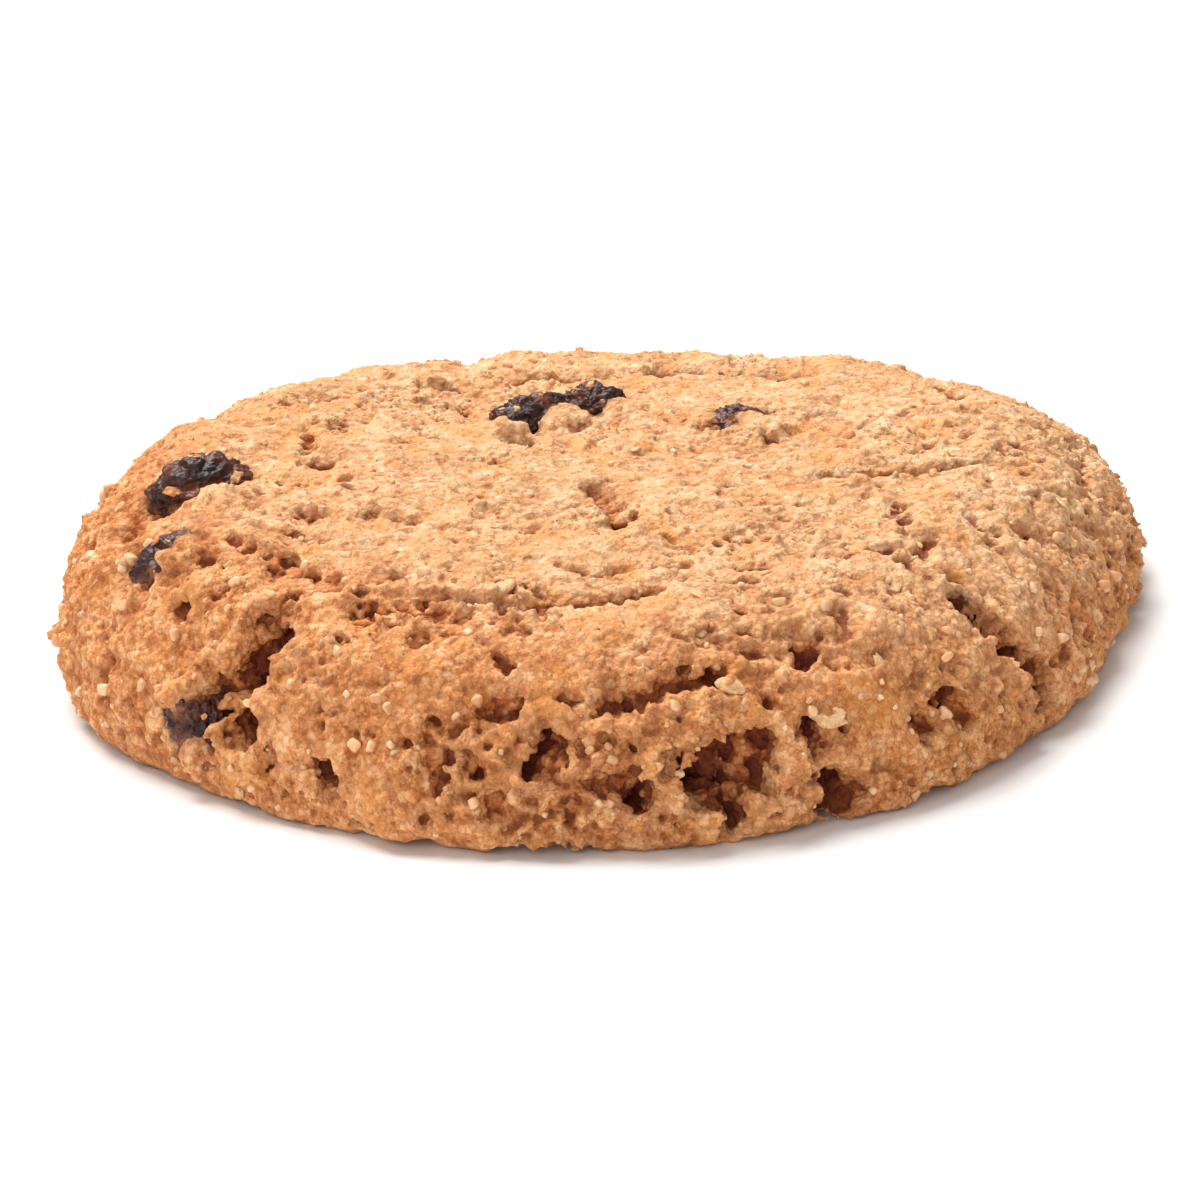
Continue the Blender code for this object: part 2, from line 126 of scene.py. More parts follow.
# Round pits: place on the map, width and depth, all in mm
PITS = [
    (-28.6, -33.2, 1.9, 3.0), (-27.4, -34.0, 1.4, 2.4), (-32.6, -30.4, 3.4, 1.7), (-32.6, -8.4, 3.4, 1.5),
    (-33.4, -14.6, 2.0, 1.2), (-6.4, 7.6, 2.4, 0.9), (-1.6, 11.4, 2.2, 0.8), (13.9, -40.4, 1.9, 2.0),
    (17.6, -43.6, 2.2, 2.2), (22.8, -36.8, 1.5, 1.8), (-22.2, -40.6, 1.6, 1.8), (-26.4, -36.6, 1.4, 1.4),
    (-12.7, -41.8, 1.7, 1.3), (-5.1, -41.9, 1.5, 1.4), (-9.0, -45.4, 1.7, 1.4), (0.5, -44.6, 1.8, 1.6),
    (3.4, -42.6, 1.5, 1.4), (-6.7, 2.6, 1.4, 1.3), (-30.2, -22.4, 1.4, 1.6), (38.0, -27.4, 1.7, 1.5),
    (-38.0, 21.0, 2.0, 1.6), (10.0, 42.5, 2.0, 1.6), (41.0, 14.0, 1.8, 1.4),
]

# Knobs of dough: place on the map, width and height, all in mm
KNOBS = [
    (-16.9, -44.6, 3.4, 0.9), (-26.8, -9.4, 3.0, 0.7), (-30.2, -18.4, 2.8, 0.8), (-8.6, 5.4, 2.6, 0.5),
    (-3.4, 8.0, 2.6, 0.9), (9.4, 6.4, 3.2, 0.8), (12.2, -44.8, 4.0, 0.7), (-20.0, 43.0, 4.0, 0.8),
    (30.0, 33.0, 4.0, 0.8), (-12.0, -35.4, 4.4, 0.5), (17.5, -31.0, 5.0, 0.6),
]

# How steep the walls of crevices, cracks and pits are
WALL_STEEPNESS = 1.7

# Zones of the crust: place on the map and reach. Porous ones are full of
# holes, smooth ones are whole plates.
POROUS_ZONES = [
    (-4.0, -44.5, 7.5), (4.5, -43.5, 7.0), (-11.0, -42.5, 5.0), (12.5, -42.0, 4.0),
    (28.0, -25.5, 4.0), (-23.5, -28.5, 4.0), (-6.0, -29.0, 4.0), (0.0, 17.0, 3.0),
    (-20.0, 40.0, 7.0), (25.0, 37.0, 7.0), (43.0, 8.0, 6.0), (-44.0, 14.0, 6.0),
]
SMOOTH_ZONES = [
    (-33.0, -24.0, 6.5), (-24.0, -35.0, 4.5), (-16.0, -37.0, 5.5), (19.0, -36.0, 4.0),
    (-10.0, -33.0, 5.0), (30.0, -20.0, 4.0),
]

# Raisins: node, place on the map, length, width and thickness, the turn
# about the way out of the crust in degrees, and how deep the middle is
RAISINS = [
    ("raisin_upper_left", (-28.8, -5.2), (7.2, 5.6, 4.9), 24.0, 1.1),
    ("raisin_left_edge", (-31.3, -16.0), (5.4, 4.2, 3.4), -15.0, 1.2),
    ("raisin_front_crevice", (-32.9, -30.2), (5.0, 4.4, 4.0), 25.0, 1.9),
    ("raisin_back_left", (-5.6, 10.0), (6.2, 4.6, 3.8), 35.0, 0.7),
    ("raisin_back_right", (-1.2, 14.4), (4.9, 4.0, 3.6), 10.0, 0.8),
    ("raisin_right", (8.5, 8.8), (4.8, 4.0, 3.1), -10.0, 0.85),
]
WRINKLE_DEPTH = 0.12

# In the same order: how deep the wrinkles are, and how many flecks of dough
# stick to it, the largest in mm
RAISIN_WRINKLES = [1.0, 1.1, 1.3, 1.1, 1.2, 1.0]
RAISIN_FLECKS = [(3, 1.3), (4, 0.8), (3, 0.7), (9, 0.9), (7, 0.9), (4, 0.7)]

# The photograph's view: elevation and roll in degrees, the distance and
# the height aimed at, the lens, all in mm, and where the aimed point falls
# off the picture's middle, as its share
VIEW_ELEVATION = 18.0
VIEW_ROLL = 1.72
VIEW_DISTANCE = 450.0
VIEW_AIM_HEIGHT = 6.0
VIEW_LENS = 188.1
VIEW_SHIFT = (-0.0102, -0.0215)

# Fineness of the crust, in mm and triangles
FIRST_SKIN = 0.6
SECOND_SKIN = 0.24
LAST_SKIN = 0.19
CRUST_TRIANGLES = 740000

# How far the fine relief is set in, so that it doesn't widen the cake
RELIEF_INSET = 0.06

# Dark ragged holes: place on the map, reach and depth, all in mm
HOLES = [
    (8.2, -42.0, 1.7, 2.2), (9.6, -41.0, 1.3, 2.0), (6.3, -44.0, 1.7, 2.0), (8.1, -45.8, 1.0, 1.8),
    (8.2, -47.4, 1.1, 1.8), (16.1, -42.3, 1.1, 1.6), (17.6, -44.0, 1.7, 2.0), (18.6, -46.8, 1.5, 1.9),
    (13.9, -39.7, 1.4, 1.6), (22.0, -36.5, 0.9, 1.8), (23.6, -35.0, 0.8, 1.1), (25.2, -34.4, 0.8, 1.0),
    (26.4, -26.4, 1.2, 1.4), (28.0, -25.6, 1.3, 1.4), (29.4, -27.4, 1.2, 1.5), (31.2, -27.1, 1.0, 1.3),
    (33.0, -26.7, 1.3, 1.7), (35.3, -26.4, 0.9, 1.4), (37.0, -27.8, 0.8, 1.4), (-22.0, -39.8, 1.1, 1.8),
    (-28.9, -33.6, 1.4, 1.3), (-27.6, -34.0, 1.2, 1.0), (-29.0, -30.1, 0.9, 1.2), (-27.2, -29.8, 1.1, 1.4),
    (-25.6, -30.0, 1.3, 1.5), (-24.0, -28.8, 1.2, 1.5), (-22.8, -27.8, 0.8, 1.1), (13.0, -33.9, 1.2, 1.6),
    (-1.6, -44.2, 1.2, 1.7), (10.2, -37.9, 0.9, 1.4), (0.7, -13.8, 0.9, 1.6), (-3.9, -44.4, 0.9, 1.3),
    (-2.7, -38.7, 0.8, 1.2), (-6.0, -42.7, 0.8, 1.3), (-14.6, -45.0, 0.8, 1.3), (-30.2, -21.9, 0.7, 1.2),
    (-21.4, -1.5, 0.8, 1.3), (27.5, 0.5, 0.9, 1.3), (22.1, -21.3, 0.8, 1.2), (-6.4, -45.5, 0.8, 1.3),
    (-12.9, -29.0, 0.8, 1.2), (-5.1, -41.8, 0.8, 1.2), (-6.9, -35.6, 0.8, 1.2), (-6.8, -38.7, 0.8, 1.1),
    (-25.5, -36.5, 0.8, 1.1), (5.1, -36.4, 0.8, 1.1), (-8.5, -29.5, 0.8, 1.1), (14.1, -31.8, 0.7, 1.1),
    (-21.3, -13.8, 0.8, 1.2), (2.4, -44.9, 0.8, 1.2), (0.6, -45.4, 0.7, 1.1), (35.5, -9.5, 0.9, 1.2),
    (15.3, -30.1, 0.7, 1.0), (-22.0, -26.3, 0.7, 1.0), (-21.1, -41.6, 0.7, 1.0), (15.6, -38.6, 0.7, 1.1),
    (-26.6, -23.1, 0.7, 1.0), (-28.1, -19.7, 0.7, 1.0), (-6.8, 3.0, 1.1, 1.6), (9.3, -32.5, 0.7, 1.0),
    (11.1, 4.4, 0.7, 1.0),
]

# Fine cracks between the plates: depth, reach and route
FINE_CRACKS = [
    (0.9, 0.8, [(-22.5, 5.6), (-22.0, 1.9), (-21.4, -1.9)]),
    (0.7, 0.8, [(-22.0, -12.7), (-19.1, -14.9), (-16.3, -13.2), (-13.6, -15.2)]),
    (0.9, 0.8, [(-16.8, -26.9), (-13.7, -28.0), (-8.5, -29.5), (-5.2, -29.7)]),
    (0.8, 0.8, [(-26.4, -16.5), (-23.9, -20.0), (-22.8, -22.0), (-18.5, -26.4)]),
    (0.7, 0.7, [(7.6, -26.5), (9.6, -26.4), (11.4, -26.8)]),
    (0.8, 0.8, [(12.2, -22.9), (14.8, -21.9), (17.0, -20.3), (20.9, -19.5), (23.5, -20.5)]),
    (0.8, 0.8, [(18.0, -2.5), (21.3, -2.6), (24.8, -0.4), (28.5, 1.5)]),
    (0.8, 0.8, [(22.8, -9.7), (21.4, -17.3), (21.7, -22.4), (22.7, -23.5)]),
    (0.7, 0.8, [(29.4, -15.6), (34.0, -11.1), (36.0, -9.7)]),
    (0.8, 0.7, [(15.4, -28.9), (15.0, -30.8), (15.5, -31.7)]),
    (0.9, 0.8, [(9.6, -33.4), (11.7, -32.2), (13.2, -32.7)]),
    (0.7, 0.8, [(33.1, 16.1), (35.5, 9.5), (37.6, 3.3)]),
    (0.6, 0.7, [(-3.3, -23.5), (-0.8, -24.2), (1.6, -23.1), (5.0, -23.7)]),
    (0.6, 0.7, [(-12.3, -16.3), (-8.7, -17.8), (-4.7, -16.4)]),
]

# Slabs, flakes, chunks and grains of crust: how far across and how unlike
# in height, in mm, and the seams between the chunks
SLAB_SIZE = 4.2
SLAB_STEP = 0.42
FLAKE_SIZE = 4.2
FLAKE_LEVELS = 2.4
CHUNK_SIZE = 1.9
CHUNK_STEP = 0.30
GRAIN_SIZE = 0.95
SEAM_WIDTH = 0.16
POROUS_SEAM_WIDTH = 0.20
SEAM_DEPTH = 0.30

# Ragged pores and pin holes: how far across and how deep
PORE_SIZE = 1.9
PIN_SPACING = 1.25
PIN_DEPTH = 0.55

# Measures that change with the kind of crust: the value on smooth plates,
# and what crumbly and porous crust add to it
SLAB_STRENGTH = (0.6, 0.4, 0.0)
FLAKE_HEIGHT = (0.16, 0.15, 0.0)
CHUNK_STRENGTH = (0.45, 0.65, 0.60)
SEAM_OPENING = (0.5, 0.5, 1.3)
GRAIN_HEIGHT = (0.055, 0.12, 0.0)
GRAINS_KEPT = (0.99, -0.09, -0.11)
GRAIN_PIT_DEPTH = (0.30, 0.30, 0.0)
PORE_THRESHOLD = (0.91, -0.24, -0.10)
PORE_DEPTH = (0.55, 0.45, 0.35)
PIN_WIDTH = (0.13, 0.08, 0.08)
PINS_SHUT = (0.86, -0.24, -0.12)

# The last grit, and the crumbly walls of the hollows
GRIT_SIZE = 0.58
GRIT_HEIGHT = 0.058
WALL_CRUMB_SIZE = 0.95
WALL_CRUMB_HEIGHT = 0.20

# How far the lower edge hangs clear of the tray in places
HEEL_LIFT = 0.8

# The sky, and the lights: name, place and size in metres, power in watts,
# and colour
SKY_COLOUR = (1.0, 0.99, 0.98, 1.0)
SKY_STRENGTH = 0.38
LIGHTS = [
    ("key", (-0.16, 0.21, 0.60), 0.5, 6.8, (1.0, 0.98, 0.95)),
    ("fill", (-0.20, -0.70, 0.30), 0.6, 2.3, (1.0, 1.0, 1.0)),
]

# Scattered things: how many there are, and in mm the smallest and how much
# larger they get, or the smallest and the largest clump
CLUMP_COUNT = 2300
CLUMP_SMALLEST = 0.30
CLUMP_LARGEST = 1.15
CRUMB_COUNT = 6000
CRUMB_SIZES = (0.30, 0.42)
SUGAR_COUNT = 560
SUGAR_SIZES = (0.45, 0.72)
OAT_COUNT = 34
OAT_SIZES = (1.4, 1.5)

# The start of all random draws, and of the noise that bends the raisins
SEED = 12

# How far along the skin the browning starts, in mm, how much sooner at the
# front and at the left, and over what length it deepens
BROWN_START = 27.0
BROWN_FRONT = 3.0
BROWN_LEFT = 5.0
BROWN_LENGTH = 20.0

# The crust round the raisins: place on the map, reach, and how far it
# stands up or has sunk
RAISIN_RIMS = [
    (-29.8, -17.0, 2.0, 0.9), (-33.3, -32.3, 1.9, 1.2), (-32.7, -28.2, 1.5, 1.4), (-31.0, -28.9, 1.2, 1.2),
    (-29.3, -31.5, 0.9, 1.1), (-27.6, -30.6, 1.8, -1.4), (-25.6, -30.2, 1.5, -1.2), (7.3, 6.4, 1.5, -0.6),
    (10.6, 5.2, 2.0, 0.4), (-6.8, 5.0, 1.3, 0.8), (-3.2, 8.4, 2.2, 0.5), (12.4, -41.6, 2.2, 1.8),
]


# Small helpers

def ease(share):
    """A smooth rise from 0 to 1."""
    share = np.clip(share, 0.0, 1.0)
    return share * share * (3 - 2 * share)


def soft_noise(points, size, shift):
    """Smooth noise over points in mm, with features of a given size."""
    offset = np.array([shift, -shift, 0.5 * shift])
    return np.array([noise.noise(p) for p in (points / size + offset).tolist()])


def ragged_noise(points, size, shift, octaves, smoothness):
    """Noise with finer and finer features added, about -1 to 1."""
    offset = np.array([shift, -shift, 0.5 * shift])
    spots = (points / size + offset).tolist()
    return np.array([noise.fractal(p, smoothness, 2.0, octaves) for p in spots])


def chance(cells, seed):
    """A fixed random share for each whole-numbered cell."""
    mixed = cells[:, 0] * 73856093 ^ cells[:, 1] * 19349663
    mixed = mixed ^ cells[:, 2] * 83492791 ^ (seed * 2654435761)
    mixed = (mixed ^ (mixed >> 13)) * 1274126177 & 0xFFFFFFFF
    mixed = (mixed ^ (mixed >> 16)) * 668265263 & 0xFFFFFFFF
    return ((mixed ^ (mixed >> 15)) & 0xFFFFFF) / float(0x1000000)


def quick_noise(points, size, seed):
    """Smooth noise from random shares at the corners of a grid, -1 to 1."""
    scaled = points / size
    base = np.floor(scaled).astype(np.int64)
    part = scaled - base
    part = part * part * (3 - 2 * part)
    total = np.zeros(len(points))
    for corner in itertools.product((0, 1), repeat=3):
        share = np.ones(len(points))
        for axis in range(3):
            side = part[:, axis]
            share = share * (side if corner[axis] else 1 - side)
        total += share * chance(base + np.array(corner), seed)
    return total * 2 - 1


def crumb_cells(points, size, seed):
    """Cells round scattered centres: the distance to the nearest centre and
    to the second, as shares of the size, the nearest one's own share, and
    how far its tilted top stands up at each point, -1 to 1."""
    scaled = points / size
    base = np.floor(scaled).astype(np.int64)
    nearest = np.full(len(points), 9.0)
    second = nearest.copy()
    tag = np.zeros(len(points))
    tip = np.zeros(len(points))
    for step in itertools.product((-1, 0, 1), repeat=3):
        cell = base + np.array(step)
        spot = np.stack([chance(cell, seed + axis) for axis in range(3)], axis=1)
        away = scaled - cell - spot
        gap = np.sqrt(np.einsum("ij,ij->i", away, away))
        closer = gap < nearest
        second = np.where(closer, nearest, np.minimum(second, gap))
        share = chance(cell, seed + 7)
        tag = np.where(closer, share, tag)
        turn = share * 47.0
        lean = away[:, 0] * np.cos(turn) + away[:, 1] * np.sin(turn)
        lean += away[:, 2] * np.cos(1.7 * turn)
        tip = np.where(closer, lean, tip)
        nearest = np.minimum(nearest, gap)
    return nearest, second, tag, tip


def read_vectors(items, field):
    """One row for each item of a mesh's list."""
    vectors = np.empty(len(items) * 3)
    items.foreach_get(field, vectors)
    return vectors.reshape(-1, 3)


def read_points(mesh):
    return read_vectors(mesh.vertices, "co")


def read_normals(mesh):
    return read_vectors(mesh.vertex_normals, "vector")


def write_points(mesh, points):
    mesh.vertices.foreach_set("co", points.ravel())
    mesh.update()


def new_object(name, data):
    thing = bpy.data.objects.new(name, data)
    bpy.context.scene.collection.objects.link(thing)
    return thing


def form_object(name, form):
    """An object from a finished bmesh."""
    mesh = bpy.data.meshes.new(name)
    form.to_mesh(mesh)
    form.free()
    return new_object(name, mesh)


def apply_modifiers(thing):
    """Keep the mesh as its modifiers leave it."""
    graph = bpy.context.evaluated_depsgraph_get()
    finished = bpy.data.meshes.new_from_object(thing.evaluated_get(graph))
    thing.modifiers.clear()
    thing.data = finished


def new_skin(thing, grain):
    """One even skin of small squares round everything in the mesh."""
    skin = thing.modifiers.new("skin", "REMESH")
    skin.mode = "VOXEL"
    skin.voxel_size = grain * MM
    apply_modifiers(thing)


def keep_marks(mesh, **marks):
    """Store values for each point, for the material to read."""
    for name, values in marks.items():
        layer = mesh.attributes.new(name, "FLOAT", "POINT")
        layer.data.foreach_set("value", np.ascontiguousarray(values, dtype=np.float32))


def on_map(bearing, length):
    return length * np.cos(bearing), length * np.sin(bearing)


def level_ways(bearing):
    """Unit vectors straight out from the cake's middle, level."""
    return np.stack([np.cos(bearing), np.sin(bearing), np.zeros(len(bearing))], axis=1)


def steep_wall(gap, reach):
    """1 in the middle of a hole, 0 past its reach, with steep walls."""
    return ease(WALL_STEEPNESS * (1 - gap / reach))


# The cake's form

def turned_profile():
    """Points (radius, height) of the cake's skin in mm, from the middle of
    the top out over the shoulder and back under the foot."""
    flat = RADIUS - SHOULDER_WIDTH
    points = []
    for step in range(12):
        radius = flat * step / 12
        height = TOP_HEIGHT + (RIM_HEIGHT - TOP_HEIGHT) * (radius / flat) ** 2
        points.append((radius, height))
    for step in range(20):
        turn = math.pi / 2 * (1 - step / 20)
        radius = flat + SHOULDER_WIDTH * math.cos(turn)
        height = BELLY_HEIGHT + (RIM_HEIGHT - BELLY_HEIGHT) * math.sin(turn)
        points.append((radius, height))
    for step in range(10):
        turn = math.pi / 2 * step / 9
        radius = RADIUS - HEEL_INSET * (1 - math.cos(turn))
        height = BELLY_HEIGHT * (1 - math.sin(turn))
        points.append((radius, height))
    points.append((0.0, 0.0))
    return points


def rim_factor(bearing):
    """How much the outline stands out of or in from its circle."""
    factor = np.ones_like(bearing)
    for waves, share, crest in RIM_WAVES:
        factor += share * np.cos(waves * (bearing - math.radians(crest)))
    return factor


def shape_cake(points, bearing):
    """Give points of the round cake the uneven outline and thickness."""
    shaped = points.copy()
    factor = rim_factor(bearing)
    shaped[:, 0] *= factor
    shaped[:, 1] *= factor
    shaped[:, 2] *= 1 - THIN_TO_RIGHT * shaped[:, 0] / RADIUS
    shaped[:, 0] += SHIFT_RIGHT
    shaped[:, 1] += SHIFT_BACK
    return shaped


def unshape_cake(points):
    """Lead points of the finished cake back to the round one."""
    rounded = points.copy()
    rounded[:, 0] -= SHIFT_RIGHT
    rounded[:, 1] -= SHIFT_BACK
    rounded[:, 2] /= 1 - THIN_TO_RIGHT * rounded[:, 0] / RADIUS
    factor = rim_factor(np.arctan2(rounded[:, 1], rounded[:, 0]))
    rounded[:, 0] /= factor
    rounded[:, 1] /= factor
    return rounded


class Skin:
    """The smooth skin of the cake, which finds points of the map on it."""

    def __init__(self):
        self.profile = np.array(turned_profile())
        steps = np.hypot(*np.diff(self.profile, axis=0).T)
        self.lengths = np.concatenate([[0.0], np.cumsum(steps)])
        self.foot = self.lengths[-2]
        away = self.profile - np.array([0.0, BELLY_HEIGHT])
        self.angles = np.arctan2(away[:, 0], away[:, 1])
        slope = np.gradient(self.profile, self.lengths, axis=0)
        self.out_radius = -slope[:, 1]
        self.out_height = slope[:, 0]

    def measure(self, points):
        """Bearing, and length along the skin, of points of the round cake."""
        bearing = np.arctan2(points[:, 1], points[:, 0])
        radius = np.hypot(points[:, 0], points[:, 1])
        angle = np.arctan2(radius, points[:, 2] - BELLY_HEIGHT)
        return bearing, np.interp(angle, self.angles, self.lengths)

    def outward(self, bearing, length):
        """Unit vectors that point out of the skin."""
        out = np.interp(length, self.lengths, self.out_radius)
        up = np.interp(length, self.lengths, self.out_height)
        ways = np.stack([out * np.cos(bearing), out * np.sin(bearing), up], axis=1)
        return ways / np.linalg.norm(ways, axis=1, keepdims=True)

    def smooth_points(self, bearing, length):
        """Points of the smooth round cake under places of the map."""
        radius = np.interp(length, self.lengths, self.profile[:, 0])
        height = np.interp(length, self.lengths, self.profile[:, 1])
        return np.stack([radius * np.cos(bearing), radius * np.sin(bearing), height], axis=1)

    def relief_of(self, points):
        """Bearing and length on the skin of points of the finished cake, and
        how far they stand out of it."""
        rounded = unshape_cake(points)
        bearing, length = self.measure(rounded)
        away = rounded - self.smooth_points(bearing, length)
        return bearing, length, np.sum(away * self.outward(bearing, length), axis=1)

    def place(self, u, v):
        """The point of the finished cake at a place of the map, in metres,
        and the way out of the skin there."""
        bearing = np.array([math.atan2(v, u)])
        length = np.array([math.hypot(u, v)])
        point = shape_cake(self.smooth_points(bearing, length), bearing)
        return Vector(point[0]) * MM, Vector(self.outward(bearing, length)[0])


SKIN = Skin()


# The broad relief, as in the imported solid

def distance_to_route(u, v, route):
    """Distance on the map from each point to a broken line."""
    nearest = np.full(len(u), 1e9)
    for (u0, v0), (u1, v1) in zip(route, route[1:]):
        du = u1 - u0
        dv = v1 - v0
        share = ((u - u0) * du + (v - v0) * dv) / (du * du + dv * dv)
        share = np.clip(share, 0.0, 1.0)
        gap = np.hypot(u - u0 - share * du, v - v0 - share * dv)
        nearest = np.minimum(nearest, gap)
    return nearest


def swellings(points):
    height = np.zeros(len(points))
    for number, (size, rise) in enumerate(SWELLINGS):
        height += rise * soft_noise(points, size, 11.0 * (number + 1))
    return height


def plates(points):
    """Plates of crust that lie over each other like low steps."""
    shift = np.array([51.0, 17.0, 5.0])
    spots = (points / PLATE_SIZE + shift).tolist()
    rise = PLATE_LEVELS * np.array([
        noise.fractal(p, 0.9, 2.0, PLATE_OCTAVES) for p in spots
    ])
    level = np.floor(rise)
    edge = ease(PLATE_EDGE * (rise - level))
    return PLATE_STEP * (level + edge - 0.5 - PLATE_TIP * rise)


def tears(points, bearing, length):
    """Long thin cracks round the shoulder, deepest where the crust bends."""
    turns = RADIUS / TEAR_RUN
    rolled = np.stack(
        [turns * np.cos(bearing), turns * np.sin(bearing), length / TEAR_SPACING],
        axis=1,
    )
    rolled[:, 2] += 0.9 * soft_noise(points, 8.0, 3.0)
    line = np.abs(soft_noise(rolled, 1.0, 21.0))
    open_share = ease(0.3 + 1.9 * soft_noise(points, 9.0, 5.0))
    bend = ease((length - 20.0) / 8.0) * ease((49.0 - length) / 4.0)
    return -TEAR_DEPTH * ease(1 - line / TEAR_WIDTH) * open_share * bend


def crevices_and_cracks(points, u, v):
    u = u + 0.9 * soft_noise(points, 2.2, 31.0)
    v = v + 0.9 * soft_noise(points, 2.2, 37.0)
    height = np.zeros(len(u))
    for depth, width, route in CREVICES:
        gap = distance_to_route(u, v, route)
        height = np.minimum(height, -depth * steep_wall(gap, width))
    open_share = ease(0.55 + 1.6 * soft_noise(points, 3.4, 41.0))
    for depth, width, route in CRACKS:
        gap = distance_to_route(u, v, route)
        height = np.minimum(height, -depth * steep_wall(gap, width) * open_share)
    return height


def pits_and_knobs(points, u, v):
    height = np.zeros(len(u))
    ragged = 1 + 0.5 * soft_noise(points, 1.6, 43.0)
    for pit_u, pit_v, width, depth in PITS:
        gap = np.hypot(u - pit_u, v - pit_v) * ragged
        height -= depth * steep_wall(gap, width)
    for knob_u, knob_v, width, rise in KNOBS:
        gap = np.hypot(u - knob_u, v - knob_v)
        height += rise * ease(1 - gap / width)
    return height


def broad_relief(points, bearing, length):
    """How far the crust stands out of the smooth skin."""
    u, v = on_map(bearing, length)
    height = swellings(points) + plates(points) + tears(points, bearing, length)
    return height + crevices_and_cracks(points, u, v) + pits_and_knobs(points, u, v)


def way_out(points, bearing, length):
    """The way that the relief moves each point: out of the skin, level near
    the foot, and less and less under it."""
    ways = SKIN.outward(bearing, length)
    level = ease(1 - points[:, 2] / FOOT_ZONE)[:, None]
    ways = ways * (1 - level) + level_ways(bearing) * level
    return ways * ease(1 - (length - SKIN.foot) / FOOT_REACH)[:, None]


def turn_cake():
    """The round cake: its profile spun into a closed skin."""
    form = bmesh.new()
    corners = [form.verts.new((r * MM, 0.0, z * MM)) for r, z in turned_profile()]
    edges = [form.edges.new(pair) for pair in zip(corners, corners[1:])]
    bmesh.ops.spin(
        form, geom=corners + edges, cent=(0, 0, 0), axis=(0, 0, 1),
        angle=math.tau, steps=160, use_merge=True,
    )
    bmesh.ops.remove_doubles(form, verts=form.verts, dist=0.00001)
    bmesh.ops.recalc_face_normals(form, faces=form.faces)
    return form_object("dough_crust", form)


def bake_broad_shape(cake):
    points = read_points(cake.data) / MM
    bearing, length = SKIN.measure(points)
    relief = broad_relief(points, bearing, np.minimum(length, SKIN.foot))
    shaped = shape_cake(points, bearing)
    shaped += way_out(points, bearing, length) * relief[:, None]
    shaped[length > SKIN.foot, 2] = 0.0
    shaped[:, 2] = np.maximum(shaped[:, 2], 0.0)
    write_points(cake.data, shaped * MM)


# The fine relief

def zone_share(u, v, zones):
    """1 in the middle of the zones, 0 outside them."""
    share = np.zeros(len(u))
    for zone_u, zone_v, reach in zones:
        gap = np.hypot(u - zone_u, v - zone_v)
        share = np.maximum(share, ease(1.6 * (1 - gap / reach)))
    return share


def crumbly_share(points, bearing, length):
    """How broken and crumbly the crust is, from 0 on smooth plates to 1."""
    u, v = on_map(bearing, np.minimum(length, SKIN.foot))
    patches = quick_noise(points, 7.0, 5) + 0.6 * quick_noise(points, 3.2, 6)
    side = ease((length - 30.0) / 12.0)
    share = ease(0.26 + 1.0 * patches + 0.30 * side)
    share = share * (1 - 0.85 * zone_share(u, v, SMOOTH_ZONES))
    porous = zone_share(u, v, POROUS_ZONES)
    return np.maximum(share, porous), porous


def bend_vectors(points, size, seed):
    return np.stack([quick_noise(points, size, seed + axis) for axis in range(3)], axis=1)


def bent_points(smooth):
    """Points of the smooth skin pushed about, for ragged edges."""
    bend = bend_vectors(smooth, 2.4, 20) + 0.6 * bend_vectors(smooth, 1.1, 30)
    return smooth + 0.7 * bend + 0.16 * bend_vectors(smooth, 0.5, 35)


def chunk_cells(smooth):
    """The crust's chunks, the same for the relief and for the colour."""
    return crumb_cells(bent_points(smooth), CHUNK_SIZE, 50)


def seam_share(smooth, porous, near, second):
    """Where the chunks have come apart, widest where the crust is porous."""
    open_share = ease(0.25 + 1.6 * quick_noise(smooth, 3.4, 45) + 0.8 * porous)
    width = SEAM_WIDTH + POROUS_SEAM_WIDTH * porous
    return ease(1.25 * (1 - (second - near) / width)) * open_share


def fine_relief(smooth, crumbly, porous):
    """Slabs, chunks and crumbs of crust, ragged holes and pin holes, in mm."""
    def here(measure):
        return measure[0] + measure[1] * crumbly + measure[2] * porous

    bent = bent_points(smooth)
    near, _, tag, tip = crumb_cells(bent, SLAB_SIZE, 40)
    slabs = SLAB_STEP * (tag - 0.5 + 0.45 * tip) * here(SLAB_STRENGTH)

    rise = FLAKE_LEVELS * ragged_noise(smooth, FLAKE_SIZE, 61.0, 5, 0.6)
    level = np.floor(rise)
    edge = ease(6.0 * (rise - level))
    flakes = here(FLAKE_HEIGHT) * (level + edge - 0.5 - 0.8 * rise)

    near, second, tag, tip = chunk_cells(smooth)
    chunks = CHUNK_STEP * here(CHUNK_STRENGTH) * (tag - 0.5 + 0.5 * tip + 0.5 - near)
    seams = -SEAM_DEPTH * seam_share(smooth, porous, near, second) * here(SEAM_OPENING)

    near, second, tag, tip = crumb_cells(smooth + 0.35 * (bent - smooth), GRAIN_SIZE, 60)
    top = ease((second - near) / 0.32)
    grains = here(GRAIN_HEIGHT) * (top + 0.9 * tag + 0.5 * tip - 0.8)
    missing = -here(GRAIN_PIT_DEPTH) * ease((tag - here(GRAINS_KEPT)) * 40) * top

    holes = ragged_noise(smooth, PORE_SIZE, 71.0, 6, 0.2)
    pores = -here(PORE_DEPTH) * ease((holes - here(PORE_THRESHOLD)) / 0.08)

    near, _, tag, _ = crumb_cells(smooth + 0.5 * (bent - smooth), PIN_SPACING, 80)
    pin = -PIN_DEPTH * ease(1.5 - near / here(PIN_WIDTH))
    pores += pin * ease((tag - here(PINS_SHUT)) * 10)
    return slabs + flakes + chunks + seams + grains + missing + pores


